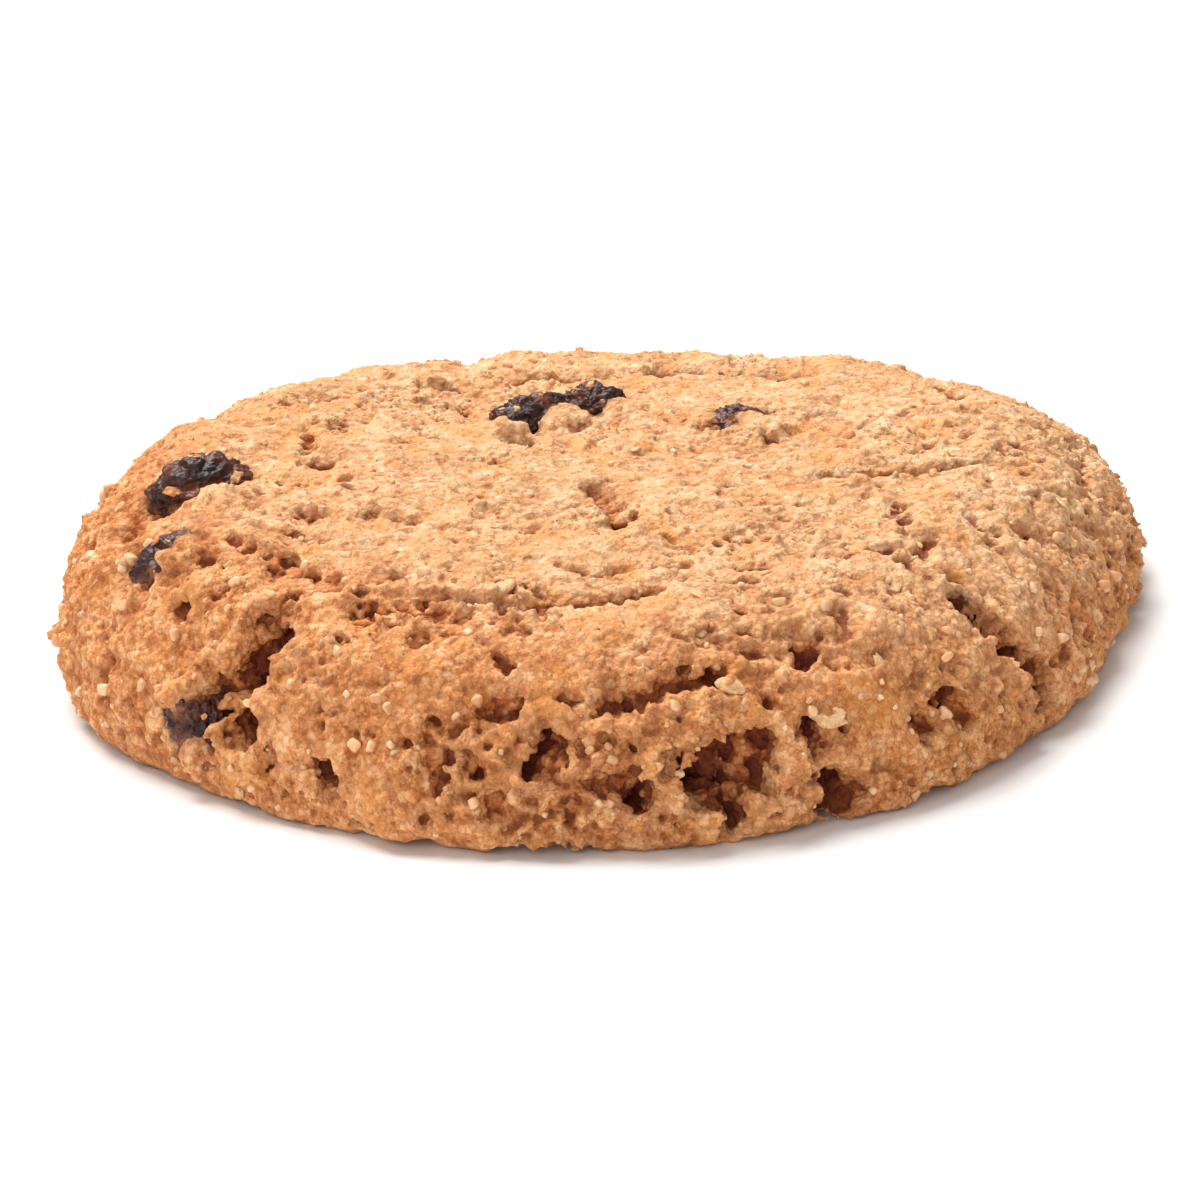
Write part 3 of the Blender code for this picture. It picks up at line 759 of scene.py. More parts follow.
def openings(smooth, bearing, length):
    """The ragged holes and cracks, and the crust sunk or risen round the
    raisins."""
    skin = np.stack(on_map(bearing, length), axis=1)
    skin += 0.65 * bend_vectors(smooth, 1.1, 130)[:, :2]
    skin += 0.45 * bend_vectors(smooth, 0.5, 140)[:, :2]
    height = np.zeros(len(skin))
    for u, v, reach, depth in HOLES:
        gap = np.hypot(skin[:, 0] - u, skin[:, 1] - v)
        height = np.minimum(height, -depth * steep_wall(gap, reach))
    broken = ease(0.90 + 0.9 * quick_noise(smooth, 1.8, 150))
    for depth, reach, route in FINE_CRACKS:
        gap = distance_to_route(skin[:, 0], skin[:, 1], route)
        height = np.minimum(height, -depth * broken * steep_wall(gap, reach))
    for u, v, reach, rise in RAISIN_RIMS:
        gap = np.hypot(skin[:, 0] - u, skin[:, 1] - v)
        height += rise * steep_wall(gap, reach)
    return height


def lift_heel(points, length):
    """The lower edge hangs clear of the tray here and there."""
    flat = points * np.array([1.0, 1.0, 0.0])
    lift = HEEL_LIFT * ease((ragged_noise(flat, 3.4, 91.0, 3, 0.7) + 0.05) / 0.5)
    edge = ease(1 - (length - SKIN.foot + 1.0) / 4.0)
    points[:, 2] = np.maximum(points[:, 2], lift * edge)


def roughen(cake):
    points = read_points(cake.data) / MM
    ways = read_normals(cake.data)
    bearing, length, _ = SKIN.relief_of(points)
    smooth = SKIN.smooth_points(bearing, length)
    crumbly, porous = crumbly_share(smooth, bearing, length)
    height = fine_relief(smooth, crumbly, porous) - RELIEF_INSET
    height += openings(smooth, bearing, length)
    height *= 1 - 0.9 * ease((length - SKIN.foot - 0.5) / 2.0)
    level_share = ease((points[:, 2] - 0.1) / 1.2)
    level = level_ways(bearing)
    ways = ways * level_share[:, None] + level * (1 - level_share)[:, None]
    points += ways * height[:, None]
    sideways = bend_vectors(points, 1.3, 95) * level_share[:, None]
    points += (0.04 + 0.13 * crumbly)[:, None] * sideways
    lift_heel(points, length)
    points[:, 2] = np.maximum(points[:, 2], 0.0)
    write_points(cake.data, points * MM)


def add_grit(cake):
    """The finest bumps, once the crust has its last skin, and the crumbly
    walls of its hollows."""
    points = read_points(cake.data) / MM
    ways = read_normals(cake.data)
    _, _, relief = SKIN.relief_of(points)
    sunk = ease(-relief - 0.5)
    near, second, tag, tip = crumb_cells(points, GRIT_SIZE, 110)
    grit = GRIT_HEIGHT * (ease((second - near) / 0.35) + 0.9 * tag + 0.5 * tip - 0.9)
    near, second, tag, tip = crumb_cells(points, WALL_CRUMB_SIZE, 115)
    grit += WALL_CRUMB_HEIGHT * sunk * (ease((second - near) / 0.3) + tag + 0.6 * tip - 1.0)
    grit += 0.04 * quick_noise(points, 0.38, 120)
    grit *= ease((points[:, 2] - 0.1) / 1.2)
    points += ways * grit[:, None]
    write_points(cake.data, points * MM)


# Scattered things

def scatter(name, shapes, frames, picks):
    """One joined mesh with a copy of one of the shapes at each frame."""
    corners = []
    faces = []
    start = 0
    for place, pick in zip(frames, picks):
        base, triangles = shapes[pick]
        corners.append(base @ place[:3, :3].T + place[:3, 3])
        faces.append(triangles + start)
        start += len(base)
    mesh = bpy.data.meshes.new(name)
    corners = np.concatenate(corners)
    faces = np.concatenate(faces)
    mesh.vertices.add(len(corners))
    mesh.vertices.foreach_set("co", corners.ravel())
    mesh.loops.add(len(faces) * 3)
    mesh.loops.foreach_set("vertex_index", faces.ravel())
    mesh.polygons.add(len(faces))
    mesh.polygons.foreach_set("loop_start", np.arange(len(faces)) * 3)
    mesh.update(calc_edges=True)
    mesh.validate()
    return new_object(name, mesh)


def as_arrays(form):
    """Points and triangles of a bmesh, for scattering."""
    bmesh.ops.triangulate(form, faces=form.faces)
    form.verts.index_update()
    points = np.array([corner.co[:] for corner in form.verts])
    triangles = np.array([[c.index for c in face.verts] for face in form.faces])
    form.free()
    return points, triangles


def crumb_shapes(count, subdivisions, bump):
    """A few knobbly crumbs, 1 across."""
    shapes = []
    for number in range(count):
        form = bmesh.new()
        bmesh.ops.create_icosphere(form, subdivisions=subdivisions, radius=0.5)
        shift = Vector((5.0 * number, 1.0, 2.0))
        for corner in form.verts:
            corner.co *= 1 + bump * noise.noise(corner.co * 2.6 + shift)
        shapes.append(as_arrays(form))
    return shapes


def random_sizes(draw, count, sizes, bias):
    """Sizes in metres, more of them small where the bias is high."""
    smallest, more = sizes
    return (smallest + more * draw.random(count) ** bias) * MM


def knobbly_sizes(draw, sizes, least, spread):
    """Sizes along three ways, each its own share of the whole size."""
    return sizes[:, None] * (least + spread * draw.random((len(sizes), 3)))


def flat_sizes(draw, sizes, width, thickness):
    """Length, width and thickness. Width and thickness are the least share
    of the length and how much more there may be."""
    return sizes[:, None] * np.stack([
        np.ones(len(sizes)),
        width[0] + width[1] * draw.random(len(sizes)),
        thickness[0] + thickness[1] * draw.random(len(sizes)),
    ], axis=1)


def turned_frames(draw, points, ways, sizes, sink, upright):
    """Frames that stand on the crust: a random turn, leaned over by chance
    where upright is below 1."""
    count = len(points)
    lean = draw.normal(size=(count, 3)) * (1 - upright)
    up = ways + lean
    up /= np.linalg.norm(up, axis=1, keepdims=True)
    aside = np.cross(up, draw.normal(size=(count, 3)))
    aside /= np.linalg.norm(aside, axis=1, keepdims=True)
    along = np.cross(up, aside)
    frames = np.zeros((count, 4, 4))
    frames[:, :3, 0] = aside * sizes[:, 0:1]
    frames[:, :3, 1] = along * sizes[:, 1:2]
    frames[:, :3, 2] = up * sizes[:, 2:3]
    frames[:, :3, 3] = points - ways * (sink * sizes[:, 2])[:, None]
    frames[:, 3, 3] = 1.0
    return frames


def strew(name, draw, points, ways, sizes, sink, upright, shapes):
    """One mesh with a copy of one of the shapes at each point."""
    frames = turned_frames(draw, points, ways, sizes, sink, upright)
    picks = draw.integers(0, len(shapes), size=len(points))
    return scatter(name, shapes, frames, picks)


def draw_spots(draw, cake, count, weight):
    """Points of the crust drawn by weight, with the way out at each. None
    lies on a raisin, deep in a hole or down by the foot."""
    points = read_points(cake.data)
    ways = read_normals(cake.data)
    bearing, length, relief = SKIN.relief_of(points / MM)
    share = weight(points / MM, bearing, length) * (points[:, 2] > 0.9 * MM)
    share = share * ease((relief + 1.1) / 0.5)
    for _, place, size, _, _ in RAISINS:
        middle, _ = SKIN.place(*place)
        gap = np.linalg.norm(points - np.array(middle), axis=1) / MM
        share = share * (gap > 0.52 * size[0])
    picked = draw.choice(len(points), size=count, replace=False, p=share / share.sum())
    return points[picked], ways[picked]


def add_clumps(cake, draw):
    """Clumps of crumb that stand out of the crust, ahead of its last skin."""
    points, ways = draw_spots(
        draw, cake, CLUMP_COUNT, lambda p, b, s: 0.02 + crumbly_share(p, b, s)[0] ** 2
    )
    sizes = draw.gamma(4.0, 0.11, size=len(points)) * MM + CLUMP_SMALLEST * MM
    sizes = np.minimum(sizes, CLUMP_LARGEST * MM)
    sizes = knobbly_sizes(draw, sizes, 0.65, 0.7)
    clumps = strew("clumps", draw, points, ways, sizes, 0.36, 0.5, crumb_shapes(6, 1, 1.2))
    form = bmesh.new()
    form.from_mesh(cake.data)
    form.from_mesh(clumps.data)
    form.to_mesh(cake.data)
    form.free()
    bpy.data.objects.remove(clumps, do_unlink=True)


def thin_out(thing, triangles):
    """Fewer faces, most of them where the form bends."""
    thing.data.calc_loop_triangles()
    fewer = thing.modifiers.new("fewer", "DECIMATE")
    fewer.ratio = triangles / len(thing.data.loop_triangles)
    fewer.use_collapse_triangulate = True
    apply_modifiers(thing)


def blur_on_map(values, u, v, cell, steps):
    """The mean of values round each point, taken on a grid of the map."""
    side = int(110 / cell)
    column = np.clip((u / cell + side / 2).astype(int), 0, side - 1)
    row = np.clip((v / cell + side / 2).astype(int), 0, side - 1)
    spot = row * side + column
    total = np.bincount(spot, values, side * side).reshape(side, side)
    count = np.bincount(spot, minlength=side * side).reshape(side, side).astype(float)
    for _ in range(3):
        for axis in (0, 1):
            total = sum(np.roll(total, step, axis) for step in range(-steps, steps + 1))
            count = sum(np.roll(count, step, axis) for step in range(-steps, steps + 1))
    mean = total / np.maximum(count, 1e-6)
    return mean[row, column]


def browned_share(bearing, length):
    """How browned a place of the crust is: more and more down the side,
    most at the front and least at the back and the right."""
    front = -np.sin(bearing)
    left = -np.cos(bearing)
    start = BROWN_START - BROWN_FRONT * front - BROWN_LEFT * left
    return ease((length - start) / BROWN_LENGTH)


def raisin_film(points):
    """Where the crust is only a thin film over a raisin."""
    film = np.zeros(len(points))
    for _, place, size, turn, depth in RAISINS:
        into_raisin = raisin_frame(place, turn, depth).inverted()
        turned = np.array(into_raisin)
        local = points * MM @ turned[:3, :3].T + turned[:3, 3]
        share = np.linalg.norm(local / (np.array(size) * 0.5 * MM), axis=1)
        film = np.maximum(film, ease((1.42 - share) / 0.3))
    return film


def mark_crust(thing):
    """Store for the material how deep each point lies under the crust close
    by and in a wider round, from which it paints shade and highlight, how
    browned its place is, its chunk's own tone, the seams between chunks, which
    it paints with shade, and the film over the raisins."""
    points = read_points(thing.data) / MM
    bearing, length, relief = SKIN.relief_of(points)
    u, v = on_map(bearing, np.minimum(length, SKIN.foot + 6.0))
    pore = blur_on_map(relief, u, v, 0.25, 1) - relief
    hollow = blur_on_map(relief, u, v, 0.5, 3) - relief
    smooth = SKIN.smooth_points(bearing, length)
    near, second, tag, _ = chunk_cells(smooth)
    _, porous = crumbly_share(smooth, bearing, length)
    seam = seam_share(smooth, porous, near, second)
    keep_marks(
        thing.data, pore=np.clip(0.5 + pore, 0.0, 1.0),
        hollow=np.clip(0.5 + hollow / 3.0, 0.0, 1.0),
        browned=browned_share(bearing, length), chunk=tag, seam=seam,
        film=raisin_film(points),
    )


def make_crust(draw):
    """The whole crust in one skin, marked for its material."""
    cake = turn_cake()
    new_skin(cake, FIRST_SKIN)
    bake_broad_shape(cake)
    new_skin(cake, SECOND_SKIN)
    roughen(cake)
    add_clumps(cake, draw)
    new_skin(cake, LAST_SKIN)
    add_grit(cake)
    thin_out(cake, CRUST_TRIANGLES)
    points = read_points(cake.data)
    points[:, 2] = np.where(points[:, 2] < 0.12 * MM, 0.0, points[:, 2])
    write_points(cake.data, points)
    mark_crust(cake)
    cake.data.shade_smooth()
    return cake


def keep_half(form, axis, place, side):
    """Cut a form across an axis, keep one side of it and close the cut."""
    normal = Vector([side if number == axis else 0.0 for number in range(3)])
    point = Vector([place if number == axis else 0.0 for number in range(3)])
    everything = list(form.verts) + list(form.edges) + list(form.faces)
    result = bmesh.ops.bisect_plane(
        form, geom=everything, dist=0.0000001, plane_co=point, plane_no=normal,
        clear_outer=True,
    )
    rim = [part for part in result["geom_cut"] if isinstance(part, bmesh.types.BMEdge)]
    for edge in rim:
        edge.smooth = False
    wall = bmesh.ops.contextual_create(form, geom=rim)["faces"]
    bmesh.ops.triangulate(form, faces=wall, ngon_method="EAR_CLIP")


def quarter_crust(cake):
    """Cut the crust into four closed pieces that meet without a gap, so
    that each keeps its fine relief."""
    middles = read_vectors(cake.data.polygons, "center")
    across = float(np.median(middles[:, 0]))
    quarters = []
    for side_name, side in (("left", 1.0), ("right", -1.0)):
        half = bmesh.new()
        half.from_mesh(cake.data)
        half.faces.ensure_lookup_table()
        keep_half(half, 0, across, side)
        half_mesh = bpy.data.meshes.new("dough_half")
        half.to_mesh(half_mesh)
        half.free()
        inside = middles[:, 0] * side < across * side
        back = float(np.median(middles[inside, 1]))
        for end_name, end in (("front", 1.0), ("back", -1.0)):
            quarter = bmesh.new()
            quarter.from_mesh(half_mesh)
            keep_half(quarter, 1, back, end)
            quarters.append(form_object("dough_" + end_name + "_" + side_name, quarter))
        bpy.data.meshes.remove(half_mesh)
    bpy.data.objects.remove(cake, do_unlink=True)
    return quarters


def mark_crumbs(thing):
    """Crumbs get the painted highlight of what stands out, and are as browned as their place."""
    points = read_points(thing.data) / MM
    bearing, length, _ = SKIN.relief_of(points)
    nothing = np.zeros(len(points))
    keep_marks(
        thing.data, pore=nothing + 0.44, hollow=nothing + 0.48,
        browned=browned_share(bearing, length),
        chunk=chance((points / 0.9).astype(np.int64), 3), seam=nothing, film=nothing,
    )


def make_fine_crumbs(cake, draw):
    """Small crumbs of the same dough, baked onto the crust."""
    points, ways = draw_spots(
        draw, cake, CRUMB_COUNT, lambda p, b, s: 0.12 + crumbly_share(p, b, s)[0] ** 2
    )
    sizes = random_sizes(draw, len(points), CRUMB_SIZES, 2)
    sizes = knobbly_sizes(draw, sizes, 0.6, 0.7)
    crumbs = strew("fine_crumbs", draw, points, ways, sizes, 0.30, 0.4, crumb_shapes(5, 1, 0.9))
    mark_crumbs(crumbs)
    return crumbs


def sugar_shapes():
    """Blocky sugar grains with worn edges and corners, 1 across."""
    shapes = []
    for number in range(5):
        form = bmesh.new()
        bmesh.ops.create_cube(form, size=0.9)
        shift = Vector((3.0 * number, 7.0, 1.0))
        for corner in form.verts:
            corner.co += 0.30 * noise.noise_vector(corner.co * 3.0 + shift)
        bmesh.ops.bevel(
            form, geom=list(form.edges), offset=0.24, offset_type="OFFSET",
            affect="EDGES", segments=2, profile=0.5, material=-1,
        )
        shapes.append(as_arrays(form))
    return shapes


def make_sugar(cake, draw):
    points, ways = draw_spots(
        draw, cake, SUGAR_COUNT, lambda p, b, s: 0.16 + 0.84 * ease((s - 22.0) / 16.0)
    )
    sizes = random_sizes(draw, len(points), SUGAR_SIZES, 2.2)
    sizes = flat_sizes(draw, sizes, (0.70, 0.3), (0.60, 0.3))
    sugar = strew("sugar_grains", draw, points, ways, sizes, 0.10, 0.35, sugar_shapes())
    sugar.data.shade_smooth()
    return sugar


def oat_shapes():
    """Broken bits of rolled oats: flat, curled, with a crease, 1 long."""
    shapes = []
    for number in range(4):
        form = bmesh.new()
        bmesh.ops.create_uvsphere(form, u_segments=14, v_segments=9, radius=0.5)
        shift = Vector((4.0 * number, 2.0, 5.0))
        for corner in form.verts:
            x, y, z = corner.co
            crease = 0.22 * math.exp(-(y / 0.10) ** 2)
            ragged = 1 + 0.45 * noise.noise(Vector((x, y, 0.0)) * 5.0 + shift)
            rough = 0.05 * noise.noise(Vector((x, y, z)) * 7.0 + shift)
            height = 0.18 * z * (1 - crease) - 0.07 * (x * x + y * y) + rough
            corner.co = Vector((x * ragged, 0.72 * y * ragged, height))
        shapes.append(as_arrays(form))
    return shapes


def make_oats(cake, draw):
    points, _ = draw_spots(draw, cake, OAT_COUNT, lambda p, b, s: np.ones(len(p)))
    bearing, length, _ = SKIN.relief_of(points / MM)
    ways = SKIN.outward(bearing, length)
    sizes = random_sizes(draw, len(points), OAT_SIZES, 1.5)
    sizes = flat_sizes(draw, sizes, (0.60, 0.35), (0.9, 0.3))
    oats = strew("oat_bits", draw, points, ways, sizes, 0.04, 0.88, oat_shapes())
    oats.data.shade_smooth()
    return oats


# Raisins

def raisin_frame(place, turn, depth):
    """Where a raisin lies: its length and width along the crust."""
    point, out = SKIN.place(*place)
    across = Vector((0.0, 1.0, 0.0)).cross(out).normalized()
    along = out.cross(across)
    axes = Matrix((across, along, out)).transposed().to_4x4()
    middle = Matrix.Translation(point - out * depth * MM)
    return middle @ axes @ Matrix.Rotation(math.radians(turn), 4, "Z")


def make_raisin(name, number, size, place_frame, wrinkles, crust_tree):
    """A dried berry with deep folds, finer wrinkles and pinched ends. It
    keeps how near the dough each point is, for the crumb stuck to it."""
    berry = bmesh.new()
    bmesh.ops.create_icosphere(berry, subdivisions=6, radius=0.5)
    shift = Vector((7.0 * number, 3.0 * number, 0.0))
    for corner in berry.verts:
        way = corner.co.normalized()
        fold = abs(noise.noise(way * 2.1 + shift))
        pinch = noise.noise(way * 1.1 - shift)
        scale = 1.0 + WRINKLE_DEPTH * (2.2 * fold - 0.6) + 0.16 * pinch
        bent = way * 2.6 + 0.35 * noise.noise_vector(way * 2.0 + shift)
        ridge = 1 - abs(noise.noise(bent * 1.3 + shift)) * 3.2
        fine = 1 - abs(noise.noise(bent * 3.1 - shift)) * 3.0
        scale += wrinkles * (0.065 * max(ridge, 0.0) + 0.045 * max(fine, 0.0))
        corner.co = Vector(w * s * MM for w, s in zip(way * 0.5 * scale, size))
    berry.transform(place_frame)
    raisin = form_object(name + "_skin", berry)
    raisin.data.shade_smooth()
    gaps = np.array([
        crust_tree.find_nearest(corner.co)[3] for corner in raisin.data.vertices
    ])
    keep_marks(raisin.data, stuck=ease(1 - gaps / (0.55 * MM)))
    return raisin


def make_flecks(raisins, draw):
    """Flecks of dough stuck to the raisins."""
    corners = []
    ways = []
    sizes = []
    for raisin, (count, largest) in zip(raisins, RAISIN_FLECKS):
        points = read_points(raisin.data)
        normals = read_normals(raisin.data)
        outer = np.flatnonzero(normals[:, 2] > 0.1)
        picked = draw.choice(outer, size=count, replace=False)
        corners.append(points[picked])
        ways.append(normals[picked])
        sizes.append(largest * (0.35 + 0.65 * draw.random(count)) * MM)
    sizes = flat_sizes(draw, np.concatenate(sizes), (0.55, 0.4), (0.25, 0.2))
    flecks = strew(
        "raisin_flecks", draw, np.concatenate(corners), np.concatenate(ways),
        sizes, 0.1, 0.9, crumb_shapes(6, 3, 0.7),
    )
    mark_crumbs(flecks)
    flecks.data.shade_smooth()
    return flecks


# Materials

class Nodes:
    """Short ways to lay out a material's or a group's nodes."""

    def __init__(self, tree):
        self.tree = tree
        self.coords = None
        self.cell_nodes = {}

    def add(self, kind, inputs=(), **settings):
        node = self.tree.nodes.new(kind)
        for key, value in settings.items():
            setattr(node, key, value)
        for socket, value in inputs:
            if isinstance(value, bpy.types.NodeSocket):
                self.tree.links.new(value, node.inputs[socket])
            else:
                node.inputs[socket].default_value = value
        return node

    def place(self):
        if self.coords is None:
            self.coords = self.add("ShaderNodeTexCoord").outputs["Object"]
        return self.coords

    def noise(self, scale, detail=2.0, rough=0.5):
        node = self.add("ShaderNodeTexNoise", [
            ("Vector", self.place()), ("Scale", scale), ("Detail", detail),
            ("Roughness", rough),
        ])
        return node.outputs["Fac"]

    def cells(self, scale, output="Distance"):
        """Cells of one size, laid out once however often they are read."""
        if scale not in self.cell_nodes:
            self.cell_nodes[scale] = self.add("ShaderNodeTexVoronoi", [
                ("Vector", self.place()), ("Scale", scale),
            ])
        return self.cell_nodes[scale].outputs[output]

    def spread(self, value, low, high, to_low=0.0, to_high=1.0):
        node = self.add("ShaderNodeMapRange", [
            ("Value", value), ("From Min", low), ("From Max", high),
            ("To Min", to_low), ("To Max", to_high),
        ], interpolation_type="SMOOTHSTEP")
        return node.outputs["Result"]

    def sum(self, first, second, share=1.0):
        node = self.add("ShaderNodeMath", [
            (0, second), (1, share), (2, first),
        ], operation="MULTIPLY_ADD")
        return node.outputs[0]

    def times(self, first, second):
        node = self.add("ShaderNodeMath", [(0, first), (1, second)], operation="MULTIPLY")
        return node.outputs[0]

    def blend(self, share, first, second):
        node = self.add("ShaderNodeMix", data_type="RGBA")
        for socket, value in ((0, share), (6, first), (7, second)):
            if isinstance(value, bpy.types.NodeSocket):
                self.tree.links.new(value, node.inputs[socket])
            else:
                node.inputs[socket].default_value = value
        return node.outputs[2]

    def tint(self, share, colour, shade):
        """A colour blended toward a shade given as it looks on a screen."""
        return self.blend(share, colour, (*linear(*shade), 1.0))

    def layer(self, colour, layers):
        """Tints over each other: where, how strong, and the shade."""
        for place, strength, shade in layers:
            colour = self.tint(self.times(place, strength), colour, shade)
        return colour

    def ramp(self, value, stops):
        node = self.add("ShaderNodeValToRGB", [("Fac", value)])
        ramp = node.color_ramp
        while len(ramp.elements) < len(stops):
            ramp.elements.new(0.5)
        for element, (position, colour) in zip(ramp.elements, stops):
            element.position = position
            element.color = (*linear(*colour), 1.0)
        return node.outputs["Color"]

    def red(self, colour):
        node = self.add("ShaderNodeSeparateColor", [("Color", colour)])
        return node.outputs["Red"]

    def attribute(self, name):
        return self.add("ShaderNodeAttribute", attribute_name=name).outputs["Fac"]


def plain_material(name):
    """A new material, its nodes and its shader."""
    material = bpy.data.materials.new(name)
    material.use_nodes = True
    shader = material.node_tree.nodes["Principled BSDF"]
    return material, Nodes(material.node_tree), shader


def finish_surface(n, shader, colour, rough, height, strength, distance):
    """Lead a colour, a roughness and a bump height to the shader."""
    bump = n.add("ShaderNodeBump", [
        ("Height", height), ("Strength", strength), ("Distance", distance),
    ])
    for value, socket in (
        (colour, "Base Color"), (rough, "Roughness"), (bump.outputs["Normal"], "Normal"),
    ):
        n.tree.links.new(value, shader.inputs[socket])


def let_light_in(shader, weight, radius, scale):
    """Some of the light spreads a little way inside, in metres."""
    shader.inputs["Subsurface Weight"].default_value = weight
    shader.inputs["Subsurface Radius"].default_value = radius
    shader.inputs["Subsurface Scale"].default_value = scale


def linear(red, green, blue):
    """A colour given as it looks on a screen, 0 to 255."""
    return tuple((c / 255 / 12.92 if c < 11 else ((c / 255 + 0.055) / 1.055) ** 2.4)
                 for c in (red, green, blue))


def make_crumb_grain():
    """A node group for the finest grain of baked things: a mottled tone that
    is also darker between the grains where their bump sinks, as painted shade,
    pale grains, dark specks with painted shade in the pin holes, and a height
    for bumps. Size scales it all."""
    group = bpy.data.node_groups.new("crumb_grain", "ShaderNodeTree")
    face = group.interface
    face.new_socket("Vector", in_out="INPUT", socket_type="NodeSocketVector")
    face.new_socket("Size", in_out="INPUT", socket_type="NodeSocketFloat")
    for name in ("Tone", "Pale", "Speck", "Height"):
        face.new_socket(name, in_out="OUTPUT", socket_type="NodeSocketFloat")
    n = Nodes(group)
    inputs = n.add("NodeGroupInput").outputs
    sized = n.add("ShaderNodeVectorMath", [
        (0, inputs["Vector"]), ("Scale", inputs["Size"]),
    ], operation="SCALE")
    n.coords = sized.outputs["Vector"]
    grain_near = n.cells(2.3)
    grain_tag = n.red(n.cells(2.3, "Color"))
    tone = n.sum(n.noise(0.34, 3.0, 0.6), n.noise(1.3, 4.0, 0.65), 1.1)
    tone = n.sum(tone, grain_tag, 0.28)
    # Darker away from the grains' middles, where their bump sinks: painted shade between the grains.
    tone = n.sum(tone, grain_near, -0.35)
    tone = n.sum(tone, n.cells(5.2), -0.35)
    pale_near = n.cells(1.15)
    pale_tag = n.red(n.cells(1.15, "Color"))
    pale = n.times(n.spread(pale_tag, 0.66, 0.76), n.spread(pale_near, 0.50, 0.34))
    # Pin holes are dark as well as sunk: painted shade in them. The specks of the larger cells are the
    # dough's own dark specks.
    pin = n.spread(n.noise(2.0, 4.0, 0.7), 0.365, 0.315)
    speck_tag = n.red(n.cells(1.9, "Color"))
    speck = n.times(n.spread(speck_tag, 0.93, 0.95), n.spread(n.cells(1.9), 0.30, 0.14))
    speck = n.sum(pin, speck)
    height = n.sum(n.times(grain_near, -0.8), grain_tag, 0.35)
    height = n.sum(height, n.cells(5.2), -0.30)
    height = n.sum(height, n.noise(9.0, 2.0), 0.25)
    height = n.sum(height, pale, 0.25)
    height = n.sum(height, pin, -0.6)
    outputs = n.add("NodeGroupOutput").inputs
    for name, value in (
        ("Tone", n.spread(tone, 0.46, 1.26)), ("Pale", pale),
        ("Speck", n.spread(speck, 0.0, 1.0)), ("Height", height),
    ):
        group.links.new(value, outputs[name])
    return group


def add_grain(n, group, size):
    """The crumb grain in a material, with its features that size up."""
    node = n.add("ShaderNodeGroup", node_tree=group)
    n.tree.links.new(n.place(), node.inputs["Vector"])
    node.inputs["Size"].default_value = size
    return node.outputs


def baked_dough(group):
    """Crust that is tan on top and browner down the side, with pale grains baked
    in. Its hollows are orange, partly the dough's own oilier colour and partly
    painted shade; its pores, deep hollows and the seams between its chunks get
    painted shade in dark brown, and what stands out gets a painted highlight."""
    material, n, shader = plain_material("baked_dough")
    grain = add_grain(n, group, 1000.0)
    pore = n.attribute("pore")
    hollow = n.attribute("hollow")
    # The grain's tone carries its painted shade between the grains.
    tone = n.sum(n.times(grain["Tone"], 0.72), n.attribute("chunk"), 0.28)
    top = n.ramp(tone, [
        (0.0, (196, 136, 88)),
        (0.35, (209, 157, 111)),
        (0.65, (219, 176, 134)),
        (1.0, (237, 206, 168)),
    ])
    side = n.ramp(tone, [
        (0.0, (158, 88, 44)),
        (0.35, (194, 125, 74)),
        (0.65, (215, 149, 96)),
        (1.0, (240, 191, 144)),
    ])
    patch = n.sum(n.attribute("browned"), n.noise(150.0, 3.0, 0.6), 0.5)
    golden = n.spread(n.noise(230.0, 3.0, 0.6), 0.52, 0.68)
    # Orange in the shallow hollows, in patches: partly the dough's own oilier colour, partly painted
    # shade.
    orange_and_shade_in_hollows = n.times(n.spread(hollow, 0.52, 0.72), n.spread(n.noise(400.0, 3.0), 0.25, 0.55))
    colour = n.blend(n.spread(patch, 0.20, 1.10), top, side)
    colour = n.layer(colour, [
        (golden, 0.46, (220, 148, 76)),
        (orange_and_shade_in_hollows, 0.65, (190, 102, 44)),
        (n.attribute("film"), 0.45, (142, 92, 70)),
        (grain["Pale"], 0.28, (240, 196, 150)),
        # Painted shade: dark brown in the pores and in the seams between the chunks.
        (n.spread(pore, 0.55, 0.84), 0.76, (122, 60, 34)),
        (n.attribute("seam"), 0.36, (138, 74, 42)),
        # Painted highlight: paler where the crust stands out of what is round it.
        (n.spread(pore, 0.48, 0.26), 0.10, (240, 198, 148)),
        # Painted shade: dark brown deep in the hollows.
        (n.spread(hollow, 0.74, 0.96), 0.80, (112, 50, 36)),
        # Dark specks of the dough, with painted shade in the pin holes.
        (grain["Speck"], 0.42, (134, 70, 32)),
    ])
    rough = n.spread(tone, 0.0, 1.0, 0.62, 0.88)
    finish_surface(n, shader, colour, rough, grain["Height"], 0.8, 0.00024)
    let_light_in(shader, 0.30, (1.0, 0.55, 0.30), 0.0004)
    shader.inputs["Specular IOR Level"].default_value = 0.12
    return material


def sugar_material():
    """Milky grains with a soft shine."""
    material, n, shader = plain_material("sugar")
    tone = n.spread(n.noise(620.0, 2.0), 0.35, 0.68)
    colour = n.tint(tone, (*linear(208, 150, 102), 1.0), (238, 194, 150))
    rough = n.spread(n.noise(1800.0, 2.0), 0.3, 0.7, 0.22, 0.55)
    finish_surface(n, shader, colour, rough, n.noise(1900.0, 2.0), 0.35, 0.0002)
    let_light_in(shader, 0.60, (1.0, 0.85, 0.7), 0.0005)
    shader.inputs["Specular IOR Level"].default_value = 0.45
    return material


def oat_material(group):
    """Pale flakes with fine ribs."""
    material, n, shader = plain_material("oat")
    grain = add_grain(n, group, 1500.0)
    # The grain's tone and specks carry painted shade between the grains and in the pin holes.
    colour = n.tint(grain["Tone"], (*linear(214, 158, 104), 1.0), (238, 198, 148))
    colour = n.layer(colour, [(grain["Speck"], 0.4, (160, 104, 60))])
    rough = n.spread(grain["Tone"], 0.0, 1.0, 0.5, 0.75)
    finish_surface(n, shader, colour, rough, grain["Height"], 0.5, 0.0002)
    let_light_in(shader, 0.2, (1.0, 0.8, 0.6), 0.0003)
    return material


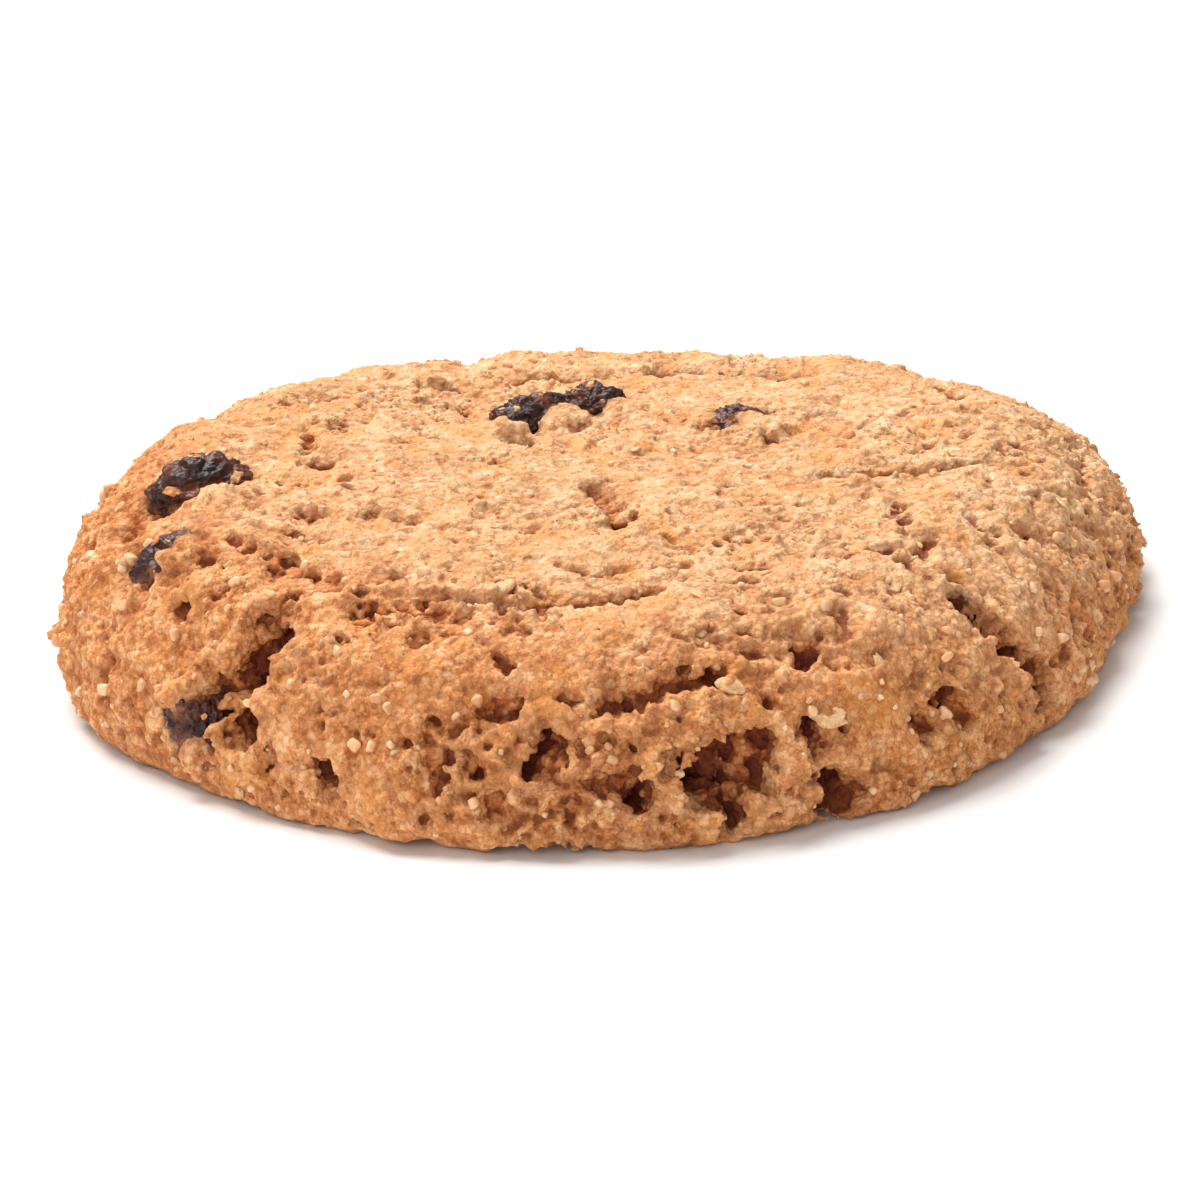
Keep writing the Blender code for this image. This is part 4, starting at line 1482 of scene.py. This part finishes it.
def raisin_material():
    """Dark wrinkled skin with a dull shine, brown where dough clings."""
    material, n, shader = plain_material("raisin_skin")
    tone = n.spread(n.noise(380.0, 3.0), 0.3, 0.7)
    colour = n.ramp(tone, [
        (0.0, (36, 15, 13)),
        (0.6, (60, 28, 22)),
        (1.0, (106, 54, 35)),
    ])
    bloom = n.spread(n.noise(1500.0, 3.0, 0.7), 0.60, 0.80)
    cling = n.times(n.attribute("stuck"), n.spread(n.noise(900.0, 3.0, 0.7), 0.40, 0.62))
    colour = n.layer(colour, [(bloom, 0.18, (136, 88, 66)), (cling, 0.8, (150, 92, 54))])
    rough = n.spread(n.noise(700.0, 3.0), 0.3, 0.7, 0.20, 0.46)
    finish_surface(n, shader, colour, rough, n.noise(1100.0, 4.0, 0.55), 0.5, 0.0004)
    shader.inputs["Specular IOR Level"].default_value = 0.30
    shader.inputs["Coat Weight"].default_value = 0.04
    shader.inputs["Coat Roughness"].default_value = 0.15
    return material


def floor_material():
    material, n, shader = plain_material("pale_floor")
    tone = n.spread(n.noise(6.0, 2.0), 0.3, 0.7)
    colour = n.blend(tone, (0.86, 0.86, 0.86, 1.0), (0.90, 0.90, 0.90, 1.0))
    n.tree.links.new(colour, shader.inputs["Base Color"])
    shader.inputs["Roughness"].default_value = 0.9
    return material


# The set

def make_floor():
    form = bmesh.new()
    bmesh.ops.create_grid(form, x_segments=1, y_segments=1, size=3.0)
    floor = form_object("pale_floor", form)
    floor.data.materials.append(floor_material())
    return floor


def add_light(name, place, size, power, colour):
    """A soft square light that looks at the cookie."""
    data = bpy.data.lights.new(name, "AREA")
    data.size = size
    data.energy = power
    data.color = colour
    light = new_object(name, data)
    light.location = place
    light.rotation_euler = (-Vector(place)).to_track_quat("-Z", "Y").to_euler()


def light_the_set():
    world = bpy.data.worlds.new("studio")
    bpy.context.scene.world = world
    world.use_nodes = True
    sky = world.node_tree.nodes["Background"]
    sky.inputs["Color"].default_value = SKY_COLOUR
    sky.inputs["Strength"].default_value = SKY_STRENGTH
    for light in LIGHTS:
        add_light(*light)


def place_camera():
    data = bpy.data.cameras.new("view")
    data.lens = VIEW_LENS
    data.sensor_width = 36.0
    data.shift_x, data.shift_y = VIEW_SHIFT
    data.clip_start = 0.01
    camera = new_object("view", data)
    tilt = math.radians(VIEW_ELEVATION)
    aim = Vector((SHIFT_RIGHT, SHIFT_BACK, VIEW_AIM_HEIGHT)) * MM
    back = Vector((0.0, -math.cos(tilt), math.sin(tilt)))
    camera.location = aim + back * VIEW_DISTANCE * MM
    turn = back.to_track_quat("Z", "Y").to_matrix()
    roll = Matrix.Rotation(math.radians(-VIEW_ROLL), 3, "Z")
    camera.rotation_euler = (turn @ roll).to_euler()
    bpy.context.scene.camera = camera


def make_raisins(crust):
    """The raisins' skins, in their nodes' places."""
    crust_tree = BVHTree.FromObject(crust, bpy.context.evaluated_depsgraph_get())
    raisins = []
    for number, (name, place, size, turn, depth) in enumerate(RAISINS):
        raisins.append(make_raisin(
            name, number, size, raisin_frame(place, turn, depth),
            RAISIN_WRINKLES[number], crust_tree,
        ))
    return raisins


def build():
    noise.seed_set(SEED)
    draw = np.random.default_rng(SEED)
    crust = make_crust(draw)
    fine_crumbs = make_fine_crumbs(crust, draw)
    sugar = make_sugar(crust, draw)
    oats = make_oats(crust, draw)
    raisins = make_raisins(crust)
    flecks = make_flecks(raisins, draw)
    quarters = quarter_crust(crust)

    grain = make_crumb_grain()
    dough = baked_dough(grain)
    for piece in quarters + [fine_crumbs, flecks]:
        piece.data.materials.append(dough)
    sugar.data.materials.append(sugar_material())
    oats.data.materials.append(oat_material(grain))
    for piece in quarters + [fine_crumbs, flecks, sugar, oats]:
        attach(piece, "root")
        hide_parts("cookie_dough")

    fruit = raisin_material()
    for raisin, (name, _, _, _, _) in zip(raisins, RAISINS):
        raisin.data.materials.append(fruit)
        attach(raisin, "root")
        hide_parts(name)

    make_floor()
    light_the_set()
    place_camera()
    bpy.context.scene.view_settings.view_transform = "Standard"


build()
